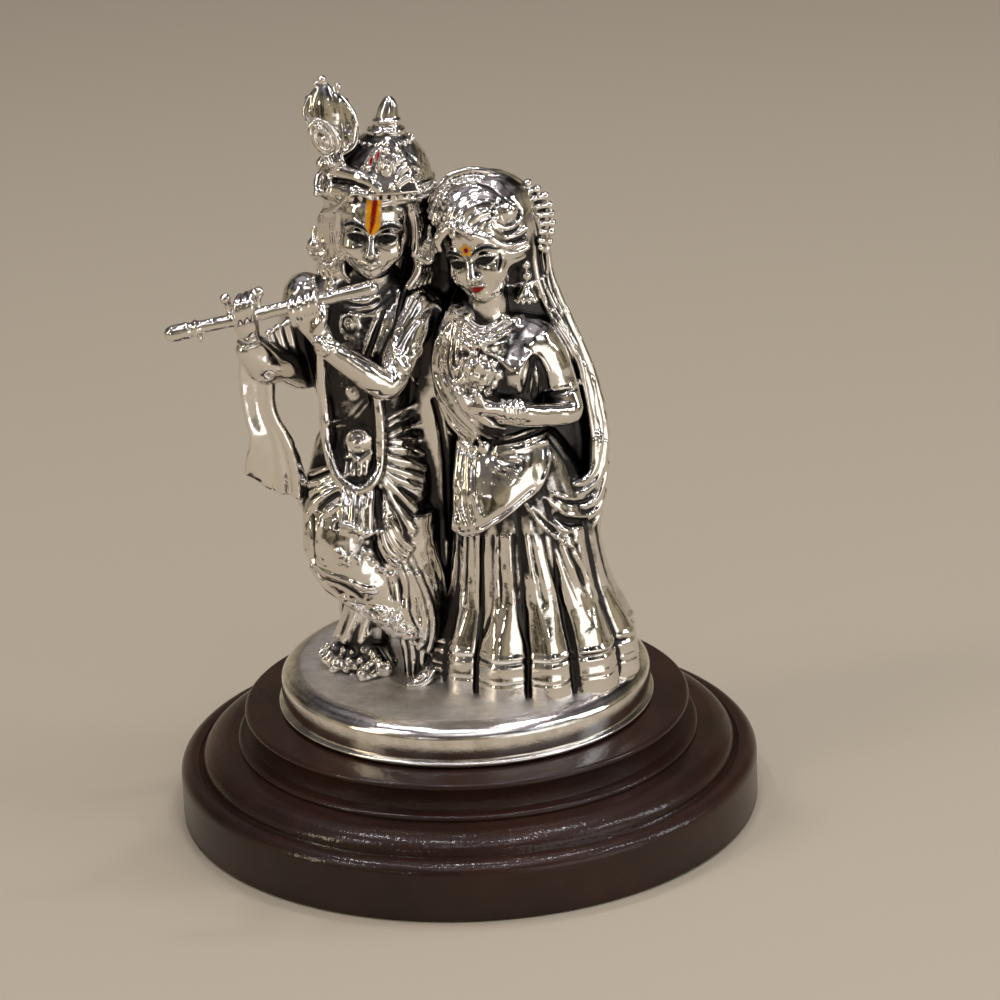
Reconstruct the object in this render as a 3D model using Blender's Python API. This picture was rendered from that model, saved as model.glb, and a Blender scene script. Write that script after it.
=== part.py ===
"""A silver-plated pair, Krishna playing his flute and Radha beside him, on a turned wooden plinth.

Metres, +Z up. The front faces -Y. The origin is the centre of the plinth's underside.
"""

from math import cos, pi, radians, sin, sqrt

import bmesh
import bpy
from mathutils import Matrix, Vector

MM = 0.001

# Plinth, a turned disc: a foot with a rounded edge, a groove, a torus, a fillet, a neck and a top disc
FOOT_RADIUS = 50.0 * MM
FOOT_HEIGHT = 9.9 * MM
FOOT_ROUND = 2.0 * MM
GROOVE_WIDTH = 0.8 * MM
GROOVE_DEPTH = 0.6 * MM
GROOVE_INSET = 3.1 * MM
TORUS_RISE = 3.0 * MM
FILLET_STEP = 1.3 * MM
FILLET_RISE = 1.1 * MM
DISC_RADIUS = 38.4 * MM
NECK_UNDERCUT = 0.8 * MM
NECK_HEIGHT = 3.3 * MM
DISC_THICKNESS = 1.6 * MM
DISC_ROUND = 0.7 * MM
PLINTH_SEGMENTS = 48

# Silver base, cast with the figures: a lip, an upright wall and a rounded shoulder up to a level top
BASE_RADIUS = 32.3 * MM
BASE_HEIGHT = 7.0 * MM
BASE_LIP = 0.9 * MM
BASE_LIP_STEP = 0.5 * MM
SHOULDER_WIDTH = 4.6 * MM
SHOULDER_DROP = 2.6 * MM
BASE_SEGMENTS = 40
SEAT_GAP = 0.3 * MM

# Figures: their coordinates below are hundredths of this height, from the base's top to the feather's tip
GROUP_HEIGHT = 103.0 * MM
GROUP_SHARES = 103.0
UNIT = GROUP_HEIGHT / GROUP_SHARES
FOOT_SINK = 0.6

# Drapery
SKIRT_PLEATS = 12
PLEAT_PHASE = radians(-6)
PLEAT_DEPTH = 2.7
HEM_BAND = 8.4
SHAWL_STRANDS = 4
CASCADE_FOLDS = 6
HIP_FOLDS = 5
TOES = 5

# Faceting of the fused figures
FUSE_CELL = 0.44 * MM
FIGURE_TRIANGLES = 6900

PLINTH_TOP = FOOT_HEIGHT + TORUS_RISE + FILLET_RISE + NECK_HEIGHT + DISC_THICKNESS
BASE_BOTTOM = PLINTH_TOP + SEAT_GAP
BASE_TOP = BASE_BOTTOM + BASE_HEIGHT


def clear_scene():
    for obj in list(bpy.data.objects):
        bpy.data.objects.remove(obj, do_unlink=True)


def finish_of(name, colour, roughness, metallic, coat=0.0):
    material = bpy.data.materials.new(name)
    material.use_nodes = True
    shader = material.node_tree.nodes["Principled BSDF"]
    shader.inputs["Base Color"].default_value = (*colour, 1.0)
    shader.inputs["Roughness"].default_value = roughness
    shader.inputs["Metallic"].default_value = metallic
    shader.inputs["Coat Weight"].default_value = coat
    material.diffuse_color = (*colour, 1.0)
    return material


def object_from(bm, name, material):
    mesh = bpy.data.meshes.new(name)
    bmesh.ops.recalc_face_normals(bm, faces=bm.faces)
    bm.to_mesh(mesh)
    bm.free()
    mesh.shade_smooth()
    obj = bpy.data.objects.new(name, mesh)
    obj.data.materials.append(material)
    bpy.context.scene.collection.objects.link(obj)
    return obj


def arc(cx, cz, radius, start, end, steps):
    """Points (r, z) on an arc about (cx, cz), from one angle to the other in degrees."""
    angles = [radians(start + (end - start) * i / steps) for i in range(steps + 1)]
    return [(cx + radius * cos(a), cz + radius * sin(a)) for a in angles]


def turned(name, profile, segments, material):
    """A solid of revolution about Z. The profile runs from the underside's axis to the top's axis."""
    bm = bmesh.new()
    points = [bm.verts.new((r, 0.0, z)) for r, z in profile]
    edges = [bm.edges.new(pair) for pair in zip(points, points[1:])]
    bmesh.ops.spin(bm, geom=points + edges, axis=(0, 0, 1), cent=(0, 0, 0), angle=2 * pi,
                   steps=segments, use_merge=True)
    bmesh.ops.remove_doubles(bm, verts=bm.verts, dist=1e-7)
    obj = object_from(bm, name, material)
    obj.data.set_sharp_from_angle(angle=radians(40))
    return obj


def plinth_profile():
    torus_foot = FOOT_RADIUS - GROOVE_INSET - GROOVE_WIDTH
    torus_head = DISC_RADIUS + FILLET_STEP + TORUS_RISE * 0.6
    neck = DISC_RADIUS - NECK_UNDERCUT
    neck_bottom = FOOT_HEIGHT + TORUS_RISE + FILLET_RISE
    disc_bottom = neck_bottom + NECK_HEIGHT
    torus = [(torus_foot - (torus_foot - torus_head) * (1 - cos(t * pi / 8)),
              FOOT_HEIGHT + TORUS_RISE * sin(t * pi / 8)) for t in range(1, 5)]
    return (
        [(0.0, 0.0), (FOOT_RADIUS, 0.0)]
        + arc(FOOT_RADIUS - FOOT_ROUND, FOOT_HEIGHT - FOOT_ROUND, FOOT_ROUND, 0, 90, 4)
        + [(FOOT_RADIUS - GROOVE_INSET, FOOT_HEIGHT),
           (FOOT_RADIUS - GROOVE_INSET - GROOVE_WIDTH / 2, FOOT_HEIGHT - GROOVE_DEPTH),
           (torus_foot, FOOT_HEIGHT)]
        + torus
        + [(DISC_RADIUS + FILLET_STEP, FOOT_HEIGHT + TORUS_RISE),
           (DISC_RADIUS + FILLET_STEP * 0.8, neck_bottom - FILLET_RISE * 0.3),
           (DISC_RADIUS, neck_bottom), (neck, neck_bottom), (neck, disc_bottom),
           (DISC_RADIUS, disc_bottom + NECK_UNDERCUT * 0.2)]
        + arc(DISC_RADIUS - DISC_ROUND, PLINTH_TOP - DISC_ROUND, DISC_ROUND, 0, 90, 2)
        + [(0.0, PLINTH_TOP)]
    )


def base_profile():
    wall = BASE_RADIUS - BASE_LIP_STEP
    shoulder = BASE_TOP - SHOULDER_DROP
    rounding = [(wall - SHOULDER_WIDTH * (1 - cos(t * pi / 10)), shoulder + SHOULDER_DROP * sin(t * pi / 10))
                for t in range(6)]
    return ([(0.0, BASE_BOTTOM), (BASE_RADIUS, BASE_BOTTOM), (BASE_RADIUS, BASE_BOTTOM + BASE_LIP),
             (wall, BASE_BOTTOM + BASE_LIP + BASE_LIP_STEP)] + rounding + [(0.0, BASE_TOP)])


# Forms of the figures. Each is one closed skin, in shares of the group's height above the base's top, and all of
# them are fused into one skin at the end.
def smooth(points, per_span=3):
    """Catmull-Rom points through the given tuples, per_span of them to each gap."""
    last = len(points) - 1
    result = []
    for i in range(last):
        a, b, c, d = (points[max(0, min(last, j))] for j in (i - 1, i, i + 1, i + 2))
        for step in range(per_span):
            t = step / per_span
            result.append(tuple(
                0.5 * (2 * q + (r - p) * t + (2 * p - 5 * q + 4 * r - s) * t * t + (3 * q - p - 3 * r + s) * t ** 3)
                for p, q, r, s in zip(a, b, c, d)))
    result.append(tuple(points[-1]))
    return result


def skin(bm, rings):
    """A closed skin through rings of equally many points, with a flat cap at each end."""
    made = [[bm.verts.new(point) for point in ring] for ring in rings]
    count = len(made[0])
    for low, high in zip(made, made[1:]):
        for i in range(count):
            j = (i + 1) % count
            bm.faces.new((low[i], low[j], high[j], high[i]))
    bm.faces.new(list(reversed(made[0])))
    bm.faces.new(made[-1])


def ball(bm, centre, radii, tilt=(0, 0, 0)):
    """An ellipsoid, tilted by degrees about X, Y and Z."""
    turn = Matrix.Identity(4)
    for angle, axis in zip(tilt, "XYZ"):
        turn = Matrix.Rotation(radians(angle), 4, axis) @ turn
    size = Matrix.Diagonal((*radii, 1.0))
    bmesh.ops.create_uvsphere(bm, u_segments=16, v_segments=10, radius=1.0,
                              matrix=Matrix.Translation(centre) @ turn @ size)


def limb(bm, stations, sides=10, per_span=3, flat=None, depth=1.0):
    """A rounded tube through stations (x, y, z, radius). A flat direction makes it depth times as thick that way."""
    points = smooth(stations, per_span)
    centres = [Vector(p[:3]) for p in points]
    side = Vector(flat) if flat else Vector((0.3, 0.2, 1.0))
    rings = []

    def ring(centre, along, radius):
        across = (side - along * side.dot(along)).normalized()
        other = along.cross(across)
        return [centre + radius * (cos(a) * other + sin(a) * across * (depth if flat else 1.0))
                for a in (2 * pi * i / sides for i in range(sides))]

    for i, (centre, point) in enumerate(zip(centres, points)):
        along = (centres[min(i + 1, len(centres) - 1)] - centres[max(i - 1, 0)]).normalized()
        radius = point[3]
        if i == 0:
            rings += [ring(centre - along * radius * 0.85, along, radius * 0.4),
                      ring(centre - along * radius * 0.5, along, radius * 0.82)]
        rings.append(ring(centre, along, radius))
        if i == len(centres) - 1:
            rings += [ring(centre + along * radius * 0.5, along, radius * 0.82),
                      ring(centre + along * radius * 0.85, along, radius * 0.4)]
    skin(bm, rings)


def stack(bm, sections, fold=None, sides=36, per_span=3):
    """A level-cut form through sections (height, centre x, centre y, half width, half depth).

    The fold function adds to the radius at an angle from the front and a height.
    """
    rings = []
    for z, cx, cy, half_width, half_depth in smooth(sections, per_span):
        ring = []
        for i in range(sides):
            angle = 2 * pi * i / sides
            extra = fold(angle, z) if fold else 0.0
            ring.append((cx + (half_width + extra) * sin(angle), cy - (half_depth + extra) * cos(angle), z))
        rings.append(ring)
    skin(bm, rings)


def sheet(bm, rows, thickness):
    """A cloth of even thickness through rows of equally many points."""
    grid = [[Vector(p) for p in row] for row in rows]
    down, across = len(grid), len(grid[0])
    front, back = [], []
    for i in range(down):
        for j in range(across):
            along = grid[min(i + 1, down - 1)][j] - grid[max(i - 1, 0)][j]
            over = grid[i][min(j + 1, across - 1)] - grid[i][max(j - 1, 0)]
            offset = over.cross(along).normalized() * thickness / 2
            front.append(bm.verts.new(grid[i][j] + offset))
            back.append(bm.verts.new(grid[i][j] - offset))
    for i in range(down - 1):
        for j in range(across - 1):
            a, b, c, d = i * across + j, i * across + j + 1, (i + 1) * across + j + 1, (i + 1) * across + j
            bm.faces.new((front[a], front[b], front[c], front[d]))
            bm.faces.new((back[d], back[c], back[b], back[a]))
    rim = ([(0, j) for j in range(across)] + [(i, across - 1) for i in range(1, down)]
           + [(down - 1, j) for j in range(across - 2, -1, -1)] + [(i, 0) for i in range(down - 2, 0, -1)])
    edge = [i * across + j for i, j in rim]
    for a, b in zip(edge, edge[1:] + edge[:1]):
        bm.faces.new((front[b], front[a], back[a], back[b]))


def between(first, second, count):
    """Count routes running from the first list of points to the second."""
    routes = []
    for k in range(count):
        t = k / (count - 1)
        routes.append([tuple(a + (b - a) * t for a, b in zip(p, q)) for p, q in zip(first, second)])
    return routes


def beads(bm, route, radius, per_span):
    for point in smooth(route, per_span):
        ball(bm, point[:3], (radius, radius, radius))


def with_radius(route, radius):
    return [(*point, radius) for point in route]


# Krishna
def krishna_torso(bm):
    stack(bm, [(27, -15, -6, 9.6, 7.6), (35, -14.3, -5.5, 10.6, 8.2), (41, -14.8, -6, 8.9, 7.0),
               (45.5, -14.7, -6, 7.3, 5.8), (52, -14.8, -6, 8.2, 6.0), (60, -15, -6, 9.6, 6.4),
               (66, -15, -5.5, 9.8, 5.6), (69.5, -14.2, -5.5, 7.2, 4.2), (71.5, -13, -6, 4.2, 3.6)])
    limb(bm, [(-13, -6.3, 69, 3.6), (-12, -7.2, 75, 3.4)])


def krishna_legs(bm):
    """The standing leg in its dhoti, the bent leg crossing in front, and both feet."""
    stack(bm, [(-FOOT_SINK, -19.3, 0.5, 5.6, 5.6), (2.5, -18.6, 0.2, 4.8, 5.0), (7, -17, -1.6, 3.9, 4.4),
               (14, -14.8, -3.8, 4.8, 5.4), (22, -13.8, -5.2, 7.2, 6.8), (30, -13.6, -5.8, 9.2, 8.0)], sides=24)
    limb(bm, [(-18.2, -8, 34, 7.0), (-19.4, -11.4, 29.6, 6.6), (-19.4, -12.6, 25.4, 6.2),
              (-16.4, -13.2, 20.6, 5.4), (-13.0, -13.0, 15.8, 4.6), (-10.4, -12.2, 11.6, 3.6)], sides=14)
    limb(bm, [(-10.6, -12, 9, 2.0), (-8.4, -11, 5.4, 1.7), (-6.2, -10.6, 3.2, 1.8), (-9.6, -13.2, 0.8, 1.3)])
    limb(bm, [(-15, -2, 5.5, 2.2), (-15, -3.6, 2.0, 2.5), (-15.6, -8, 1.2, 2.3)], flat=(0, 0, 1), depth=0.75)
    for k in range(TOES):
        size = 0.95 - 0.08 * k
        limb(bm, [(-17.6 + 1.1 * k, -8.2, 1.1, size), (-17.9 + 1.25 * k, -11.4 + 0.35 * k, 0.7, size - 0.1)], sides=8)
    beads(bm, [(-18.4, -5, 4.2), (-17.4, -7.2, 3.6), (-14.4, -7.4, 3.8), (-12, -5.6, 4.6)], 0.75, 3)


def krishna_dhoti(bm):
    """Folds that fan from the belt over both hips, a pleated flap, and a cascade beside the bent leg."""
    for k in range(HIP_FOLDS):
        limb(bm, [(-11.6 - 0.5 * k, -13.0 - 0.3 * k, 43 - 1.9 * k, 0.8), (-7.8, -11.6 - 0.5 * k, 41 - 4.0 * k, 1.2),
                  (-4.2 - 0.4 * k, -6.8 - 1.2 * k, 39.5 - 5.2 * k, 1.25)], sides=8)
        limb(bm, [(-19.4 + 0.4 * k, -12.2 - 0.6 * k, 42.4 - 1.6 * k, 0.7),
                  (-22.4 + 0.3 * k, -11 - 1.2 * k, 39.6 - 2.6 * k, 0.95),
                  (-24.2 + 0.3 * k, -7.6 - 1.6 * k, 38 - 3.2 * k, 0.95)], sides=8)
    flap = []
    for i in range(5):
        t = i / 4
        z = 38 - 8.6 * t
        row = []
        for j in range(9):
            s = j / 8
            x = -18.9 + 4.8 * s + 0.6 * (s - 0.5) * t
            row.append((x - 0.4 * t, -14.8 - 2.2 * t + 0.55 * cos(s * 8 * pi), z + t * cos(s * 6 * pi)))
        flap.append(row)
    sheet(bm, flap, 1.3)
    first = [(-14.6, -15.0, 34), (-13.4, -16.8, 27), (-11.0, -16.8, 18.5), (-9.2, -15.2, 11.5)]
    second = [(-7.0, -10.6, 28), (-4.6, -9.8, 21), (-3.4, -9.0, 14), (-3.8, -8.6, 6.5)]
    for k, route in enumerate(between(first, second, CASCADE_FOLDS)):
        limb(bm, with_radius(route, 1.3 - 0.05 * k), sides=8)
    stack(bm, [(5, -6.0, -6.4, 2.0, 3.0), (12, -6.8, -7.2, 3.4, 4.6), (20, -8.2, -7.4, 4.6, 5.4),
               (30, -9.6, -7.2, 6.2, 6.2)], sides=24)


def krishna_shawl(bm):
    """The long cloth that hangs behind his near arm to the ground, and its edge arched over the shoulder."""
    stack(bm, [(-FOOT_SINK, -5.6, -4.6, 3.0, 4.4), (10, -4.8, -4.2, 3.4, 4.8), (22, -4.2, -3.6, 3.8, 5.0),
               (34, -3.6, -3.4, 4.0, 5.0), (44, -3.8, -4.4, 4.4, 4.4), (54, -3.6, -5.0, 4.6, 4.2),
               (62, -4.0, -5.4, 4.0, 4.0), (66, -5.2, -5.6, 3.4, 3.2)], sides=24)
    arch = [(-9.4, -12.4, 60.4), (-8.2, -11.8, 64.4), (-5.6, -10, 67), (-2.6, -8.2, 65.8), (-1.4, -6.6, 60.6),
            (-1.4, -6.2, 54)]
    limb(bm, with_radius(arch, 1.2), sides=8)
    limb(bm, [(-2.6, -1.6, 60, 3.4), (-1.2, -1.4, 66, 3.4), (-0.6, -1.4, 72, 3.0), (-0.8, -2.2, 78, 2.6)])
    stack(bm, [(4, -15, 3.4, 6.0, 3.0), (16, -14.6, 2.2, 7.0, 3.0), (34, -14.2, 1.2, 8.8, 3.2),
               (50, -14.4, 0.0, 8.0, 2.8), (64, -15, -1.0, 8.4, 2.8), (69, -14.4, -2.0, 6.0, 2.4)], sides=28)


def krishna_arms(bm):
    limb(bm, [(-5.8, -7.2, 64.6, 3.5), (-6.6, -9.6, 62, 3.3), (-8.6, -13, 57.6, 2.9), (-10.8, -15.6, 54, 2.6),
              (-14.4, -17.6, 56.6, 2.3), (-19.9, -18.6, 61.2, 1.75)], per_span=4)
    limb(bm, [(-20.4, -18.6, 61.6, 1.75), (-22, -18.2, 64.4, 2.1), (-23.8, -17.6, 67.4, 2.3)],
         flat=(0.5, 1, 0), depth=0.8)
    for k in range(4):
        limb(bm, [(-24.8 + 1.25 * k, -19.2, 66.2 + 0.45 * k, 0.75), (-25.2 + 1.3 * k, -19.6, 68.4 + 0.3 * k, 0.75),
                  (-25.0 + 1.3 * k, -17.2, 69.9 + 0.3 * k, 0.7)], sides=7)
    beads(bm, [(-21.8, -19.8, 61.6), (-20.6, -20.6, 61.4), (-19.0, -20.0, 62.6), (-18.6, -18.2, 63.2)], 0.75, 2)
    limb(bm, [(-23.4, -4.4, 66.2, 4.0), (-24.8, -4.2, 61, 3.7), (-24.6, -3.8, 54, 3.3), (-26.6, -7.2, 54.6, 2.7),
              (-30.0, -11.2, 58.2, 2.3), (-32.6, -14.6, 62.6, 1.8)], per_span=4)
    limb(bm, [(-32.6, -14.8, 62.8, 1.8), (-33.0, -16, 65.2, 2.2), (-33.2, -16.4, 67.4, 2.0)],
         flat=(0, 1, 0), depth=0.75)
    for k in range(3):
        limb(bm, [(-34.2 + 1.15 * k, -18.6, 66.2 + 0.3 * k, 0.7), (-34.0 + 1.15 * k, -18.4, 69.4 + 0.3 * k, 0.75),
                  (-33.6 + 1.15 * k, -16.4, 70.2 + 0.3 * k, 0.7)], sides=7)
    for tip, knuckle in (((-35.9, -17.0, 69.9), (-35.2, -16.6, 67.2)), ((-30.5, -17.0, 70.8), (-31.0, -16.6, 68))):
        limb(bm, [(*knuckle, 0.8), (*tip, 0.85)], sides=8)


def flute(bm):
    left, mouth = Vector((-44.6, -19.0, 65.0)), Vector((-12.6, -15.4, 70.2))
    limb(bm, [(*left, 1.4), (*left.lerp(mouth, 0.5), 1.3), (*left.lerp(mouth, 0.85), 1.25), (*mouth, 1.5)], sides=12)
    for share, radius in ((0.02, 1.55), (0.09, 1.75)):
        ball(bm, left.lerp(mouth, share), (0.9, radius, radius))
    ball(bm, left.lerp(mouth, 0.14) + Vector((0, 0, -1.9)), (0.7, 0.7, 0.9))


def scarf(bm):
    """The cloth over his far forearm, and the long end that hangs from it."""
    left = [(-33.6, -13.4, 60.2), (-34.3, -13.4, 55), (-33.9, -13.4, 50.6), (-33.7, -13, 45.4), (-35.0, -12.2, 37.0)]
    right = [(-29.6, -10.4, 57.4), (-29.8, -11, 54), (-28.6, -10.8, 49.6), (-26.4, -10.4, 44.6), (-25.0, -9.6, 33.6)]
    columns = 9
    rows = []
    for i, (start, end) in enumerate(zip(smooth(left), smooth(right))):
        row = []
        for j in range(columns):
            x, y, z = (a + (b - a) * j / (columns - 1) for a, b in zip(start, end))
            row.append((x, y - min(0.3 + 0.1 * i, 1.2) * cos(j * pi / 2), z))
        rows.append(row)
    sheet(bm, rows, 1.4)
    limb(bm, [(-33.2, -14.0, 60.4, 1.9), (-31.0, -12.0, 57.2, 2.7), (-28.6, -9.4, 55.6, 2.7),
              (-26.2, -6.8, 55.4, 2.6)])


def garland(bm):
    loop = [(-16.4, -9.6, 70.4), (-18.6, -11.4, 67.6), (-20.4, -12.8, 62), (-21.2, -13.4, 56), (-21.2, -13.6, 50),
            (-20.6, -14.4, 44.8), (-19.0, -15.6, 39.6), (-16.5, -16.2, 37.2), (-13.9, -15.8, 38.6),
            (-12.3, -14.8, 42.8), (-11.8, -13.8, 50), (-11.4, -13.2, 56), (-9.6, -12.0, 62), (-7.6, -10.4, 67.4)]
    limb(bm, with_radius(loop, 1.1), sides=8)
    ball(bm, (-16.1, -12.6, 44.6), (2.4, 1.4, 2.5))
    ball(bm, (-16.1, -12.4, 64.0), (1.9, 1.3, 1.9))


def krishna_head(bm):
    ball(bm, (-11.9, -7.6, 78.6), (6.5, 7.2, 8.2), (0, 6, 0))
    ball(bm, (-11.4, -4.2, 79.6), (9.0, 7.6, 8.2))
    limb(bm, [(-11.2, -14.0, 79.4, 0.8), (-11.5, -15.2, 76.2, 1.0)], sides=8)
    ball(bm, (-12.3, -13.4, 72.2), (1.9, 1.5, 1.5))
    ball(bm, (-12.0, -14.3, 74.0), (1.7, 0.8, 0.6))
    for side in (-1, 1):
        ball(bm, (-11.7 + 2.9 * side, -13.3, 78.2 - 0.2 * side), (1.6, 0.9, 0.8))
        limb(bm, [(-11.5 + 1.1 * side, -14.3, 79.8, 0.5), (-11.4 + 3.0 * side, -14.0, 80.6, 0.5),
                  (-11.4 + 5.2 * side, -12.0, 79.4, 0.4)], sides=6)
        limb(bm, [(-11.5 + 7.4 * side, -7.4, 80.6, 1.6), (-11.4 + 8.6 * side, -7.0, 77.6, 1.8),
                  (-11.4 + 9.2 * side, -6.6, 75.2, 1.9), (-11.4 + 8.6 * side, -7.4, 74.0, 1.2)], sides=8)
    limb(bm, [(-18, -3, 78, 3.4), (-18.6, -1, 72, 3.2), (-16.6, 0, 68, 2.6)])
    limb(bm, [(-5.4, -2.6, 78, 3.2), (-5.0, -1, 72, 3.0), (-6.4, 0, 68, 2.6)])


def crown(bm):
    stack(bm, [(82.0, -11.2, -5.2, 8.7, 8.3), (84.0, -11.0, -5.2, 9.3, 8.8), (86.0, -10.8, -5.2, 9.1, 8.4),
               (88.0, -10.4, -5.0, 8.0, 7.2), (90.0, -9.9, -4.8, 6.3, 5.6), (91.8, -9.5, -4.6, 5.2, 4.8),
               (92.4, -9.4, -4.5, 4.2, 4.0), (93.6, -9.2, -4.4, 4.0, 3.8), (94.2, -9.0, -4.3, 3.0, 2.9),
               (95.4, -8.8, -4.2, 2.7, 2.6), (97.0, -8.6, -4.0, 2.2, 2.1), (98.6, -8.4, -4.0, 1.0, 1.0)],
          sides=32, per_span=2)
    band = [(-19.8, -7.4, 84.6), (-16.6, -11.4, 84.6), (-13.2, -13.4, 84.4), (-10.2, -14.4, 83.2),
            (-7.2, -13.2, 84.0), (-4.4, -11.0, 83.6), (-2.4, -7.4, 82.6)]
    limb(bm, with_radius(band, 1.0), sides=8)
    plaque = []
    for i in range(7):
        t = i / 6
        half = 5.4 * sqrt(max(0.0, 1 - t ** 1.6)) + 0.35
        plaque.append([(-9.6 + 1.0 * t + half * s, -13.9 + 2.9 * t + 0.16 * half * s * s, 84.6 + 8.6 * t)
                       for s in (-1, -0.6, -0.2, 0.2, 0.6, 1)])
    sheet(bm, plaque, 1.4)
    ball(bm, (-9.4, -14.2, 87.8), (1.7, 1.1, 2.5))
    ball(bm, (-12.6, -13.2, 88.6), (1.0, 0.8, 1.5))
    limb(bm, [(-17.2, -9.6, 88.6, 1.5), (-19.4, -9.0, 88.6, 1.8), (-20.0, -8.4, 86, 1.8), (-19.4, -8.2, 83.6, 1.4)])


def feather(bm):
    """A peacock feather of one eye between three leaves, set at the crown's left."""
    limb(bm, [(-16.8, -9.0, 88.8, 1.4), (-18.4, -8.8, 91.4, 1.3), (-18.8, -8.0, 94.2, 2.6), (-18.6, -7.6, 97.2, 2.4),
              (-19.0, -7.0, 99.6, 1.0)], flat=(0, 1, 0.2), depth=0.45)
    ball(bm, (-18.9, -8.6, 95.0), (1.5, 1.0, 2.2), (0, -14, 0))
    leaves = (
        [(-20.4, -8.0, 94.6, 1.2), (-21.4, -7.6, 97.4, 1.1), (-20.8, -7.2, 100.0, 0.5)],
        [(-17.8, -7.4, 96.4, 1.6), (-18.6, -6.8, 99.8, 1.8), (-19.2, -6.2, 101.9, 0.9)],
        [(-15.8, -8.2, 91.6, 1.4), (-15.2, -7.4, 95.4, 2.2), (-16.2, -6.8, 99.4, 1.6), (-17.4, -6.2, 101.2, 0.8)],
    )
    for leaf in leaves:
        limb(bm, leaf, flat=(0, 1, 0.2), depth=0.6)


# Radha
def pleat(angle, z):
    """Rounded pleats that part in narrow grooves and deepen down to the hem, with a raised band above the hem."""
    lobe = abs(cos((angle - PLEAT_PHASE) * SKIRT_PLEATS / 2 + pi / 2)) ** 0.55
    share = min(1.0, max(0.15, (42 - z) / 26))
    band = 0.45 if z < HEM_BAND else 0.0
    return (lobe - 0.7) * PLEAT_DEPTH * share + band


def radha_skirt(bm):
    stack(bm, [(-FOOT_SINK, 11.6, -5.2, 17.0, 16.0), (4, 11.5, -5.2, 16.4, 15.5), (8, 11.5, -5.2, 15.8, 15.0),
               (8.8, 11.4, -5.2, 15.4, 14.6), (14, 11.2, -5.4, 13.9, 13.3), (22, 10.9, -5.8, 12.2, 11.6),
               (30, 10.5, -6.4, 11.0, 9.9), (37, 9.6, -7.4, 9.4, 8.0), (43, 8.3, -8.2, 7.0, 6.2)],
          fold=pleat, sides=144, per_span=2)


def radha_torso(bm):
    stack(bm, [(38, 9.2, -7.6, 8.4, 7.2), (43, 8.3, -8.4, 7.0, 6.2), (48, 7.6, -8.6, 7.2, 6.2),
               (53, 7.4, -8.8, 8.2, 6.8), (57.5, 7.4, -8.2, 9.0, 6.0), (61, 7.2, -7.4, 8.4, 4.6),
               (63, 6.6, -8, 5.0, 3.8)])
    for side in (-1, 1):
        ball(bm, (6.6 + 3.6 * side, -12.4, 54.4), (3.6, 3.4, 3.6))
    ball(bm, (4.4, -12.6, 57.4), (5.2, 3.4, 4.8))
    limb(bm, [(6.4, -8.6, 61, 3.3), (6.0, -9.4, 67, 3.1)])


def radha_arm(bm):
    limb(bm, [(13.6, -8, 58.6, 4.6), (16.8, -8, 56.2, 4.4), (19.0, -8.6, 52.2, 3.6), (19.6, -10.2, 49.4, 2.7),
              (16.0, -14.2, 49.0, 2.3), (11.0, -17.2, 49.4, 1.9)], per_span=4)
    limb(bm, [(11.4, -17.2, 49.4, 2.3), (8.8, -18.2, 49.7, 2.3)])
    limb(bm, [(8.8, -18.4, 49.8, 1.7), (6.0, -18.8, 50.6, 2.1), (3.4, -18.6, 51.2, 1.4)])
    sleeve = [(20.8, -11.8, 51.2), (19.4, -12.8, 52.0), (16.4, -12.6, 51.4), (15.0, -11.4, 51.6)]
    limb(bm, with_radius(sleeve, 0.8), sides=8)
    ball(bm, (3.9, -17.2, 55.6), (3.9, 2.6, 3.9))
    ball(bm, (4.6, -14.6, 60.4), (1.6, 1.4, 1.6))
    for k in range(9):
        angle = 2 * pi * k / 9
        ball(bm, (3.9 + 2.6 * cos(angle), -18.4, 55.8 + 2.6 * sin(angle)), (1.0, 1.0, 1.0))


def radha_shawl(bm):
    """Pleats of the veil from her right shoulder across to the belt."""
    outer = [(1.4, -6.4, 66.0), (-0.4, -9.4, 63.4), (-1.9, -10.6, 60.4), (-2.8, -11, 55.8), (-2.6, -12, 50.8),
             (-0.6, -13, 46), (2.4, -14, 43.4)]
    inner = [(4.4, -9.4, 65.4), (3.2, -12.2, 63), (2.0, -14.0, 60.2), (1.4, -14.8, 55.8), (2.0, -15.4, 51.0),
             (4.6, -15.6, 47.4), (8.6, -14.6, 44.8)]
    for route in between(outer, inner, SHAWL_STRANDS):
        limb(bm, with_radius(route, 0.95), sides=8)


def radha_apron(bm):
    """The cloth over her lap: close pleats down its left, a smooth front, and a hem that rises to the right."""
    top = [(1.2, -13.6, 43.0), (3.0, -14.4, 42.6), (5.2, -15.0, 42.4), (8.0, -15.0, 43.4), (11.4, -14.0, 44.0),
           (15.0, -11.6, 43.6)]
    low = [(0.2, -16.0, 28.2), (2.4, -17.4, 28.0), (5.0, -18.6, 29.2), (8.4, -18.6, 31.6), (11.8, -17.6, 34.4),
           (15.0, -14.8, 36.8)]
    rows = []
    for i in range(6):
        t = i / 5
        row = []
        for j, (a, b) in enumerate(zip(smooth(top), smooth(low))):
            x, y, z = (p + (q - p) * t for p, q in zip(a, b))
            ripple = 0.9 * t * sin(j * 2.1) if j < 6 else 0.0
            row.append((x, y - sin(pi * t) + ripple, z))
        rows.append(row)
    sheet(bm, rows, 2.0)
    belt = [(-0.2, -11.4, 43.6), (1.6, -13.8, 43.0), (4.7, -15.2, 42.6), (9.2, -15.2, 44.2), (15.4, -11, 44.6)]
    limb(bm, with_radius(belt, 1.1), sides=8)
    ball(bm, (4.7, -15.8, 42.2), (1.7, 1.1, 2.1))


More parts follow.
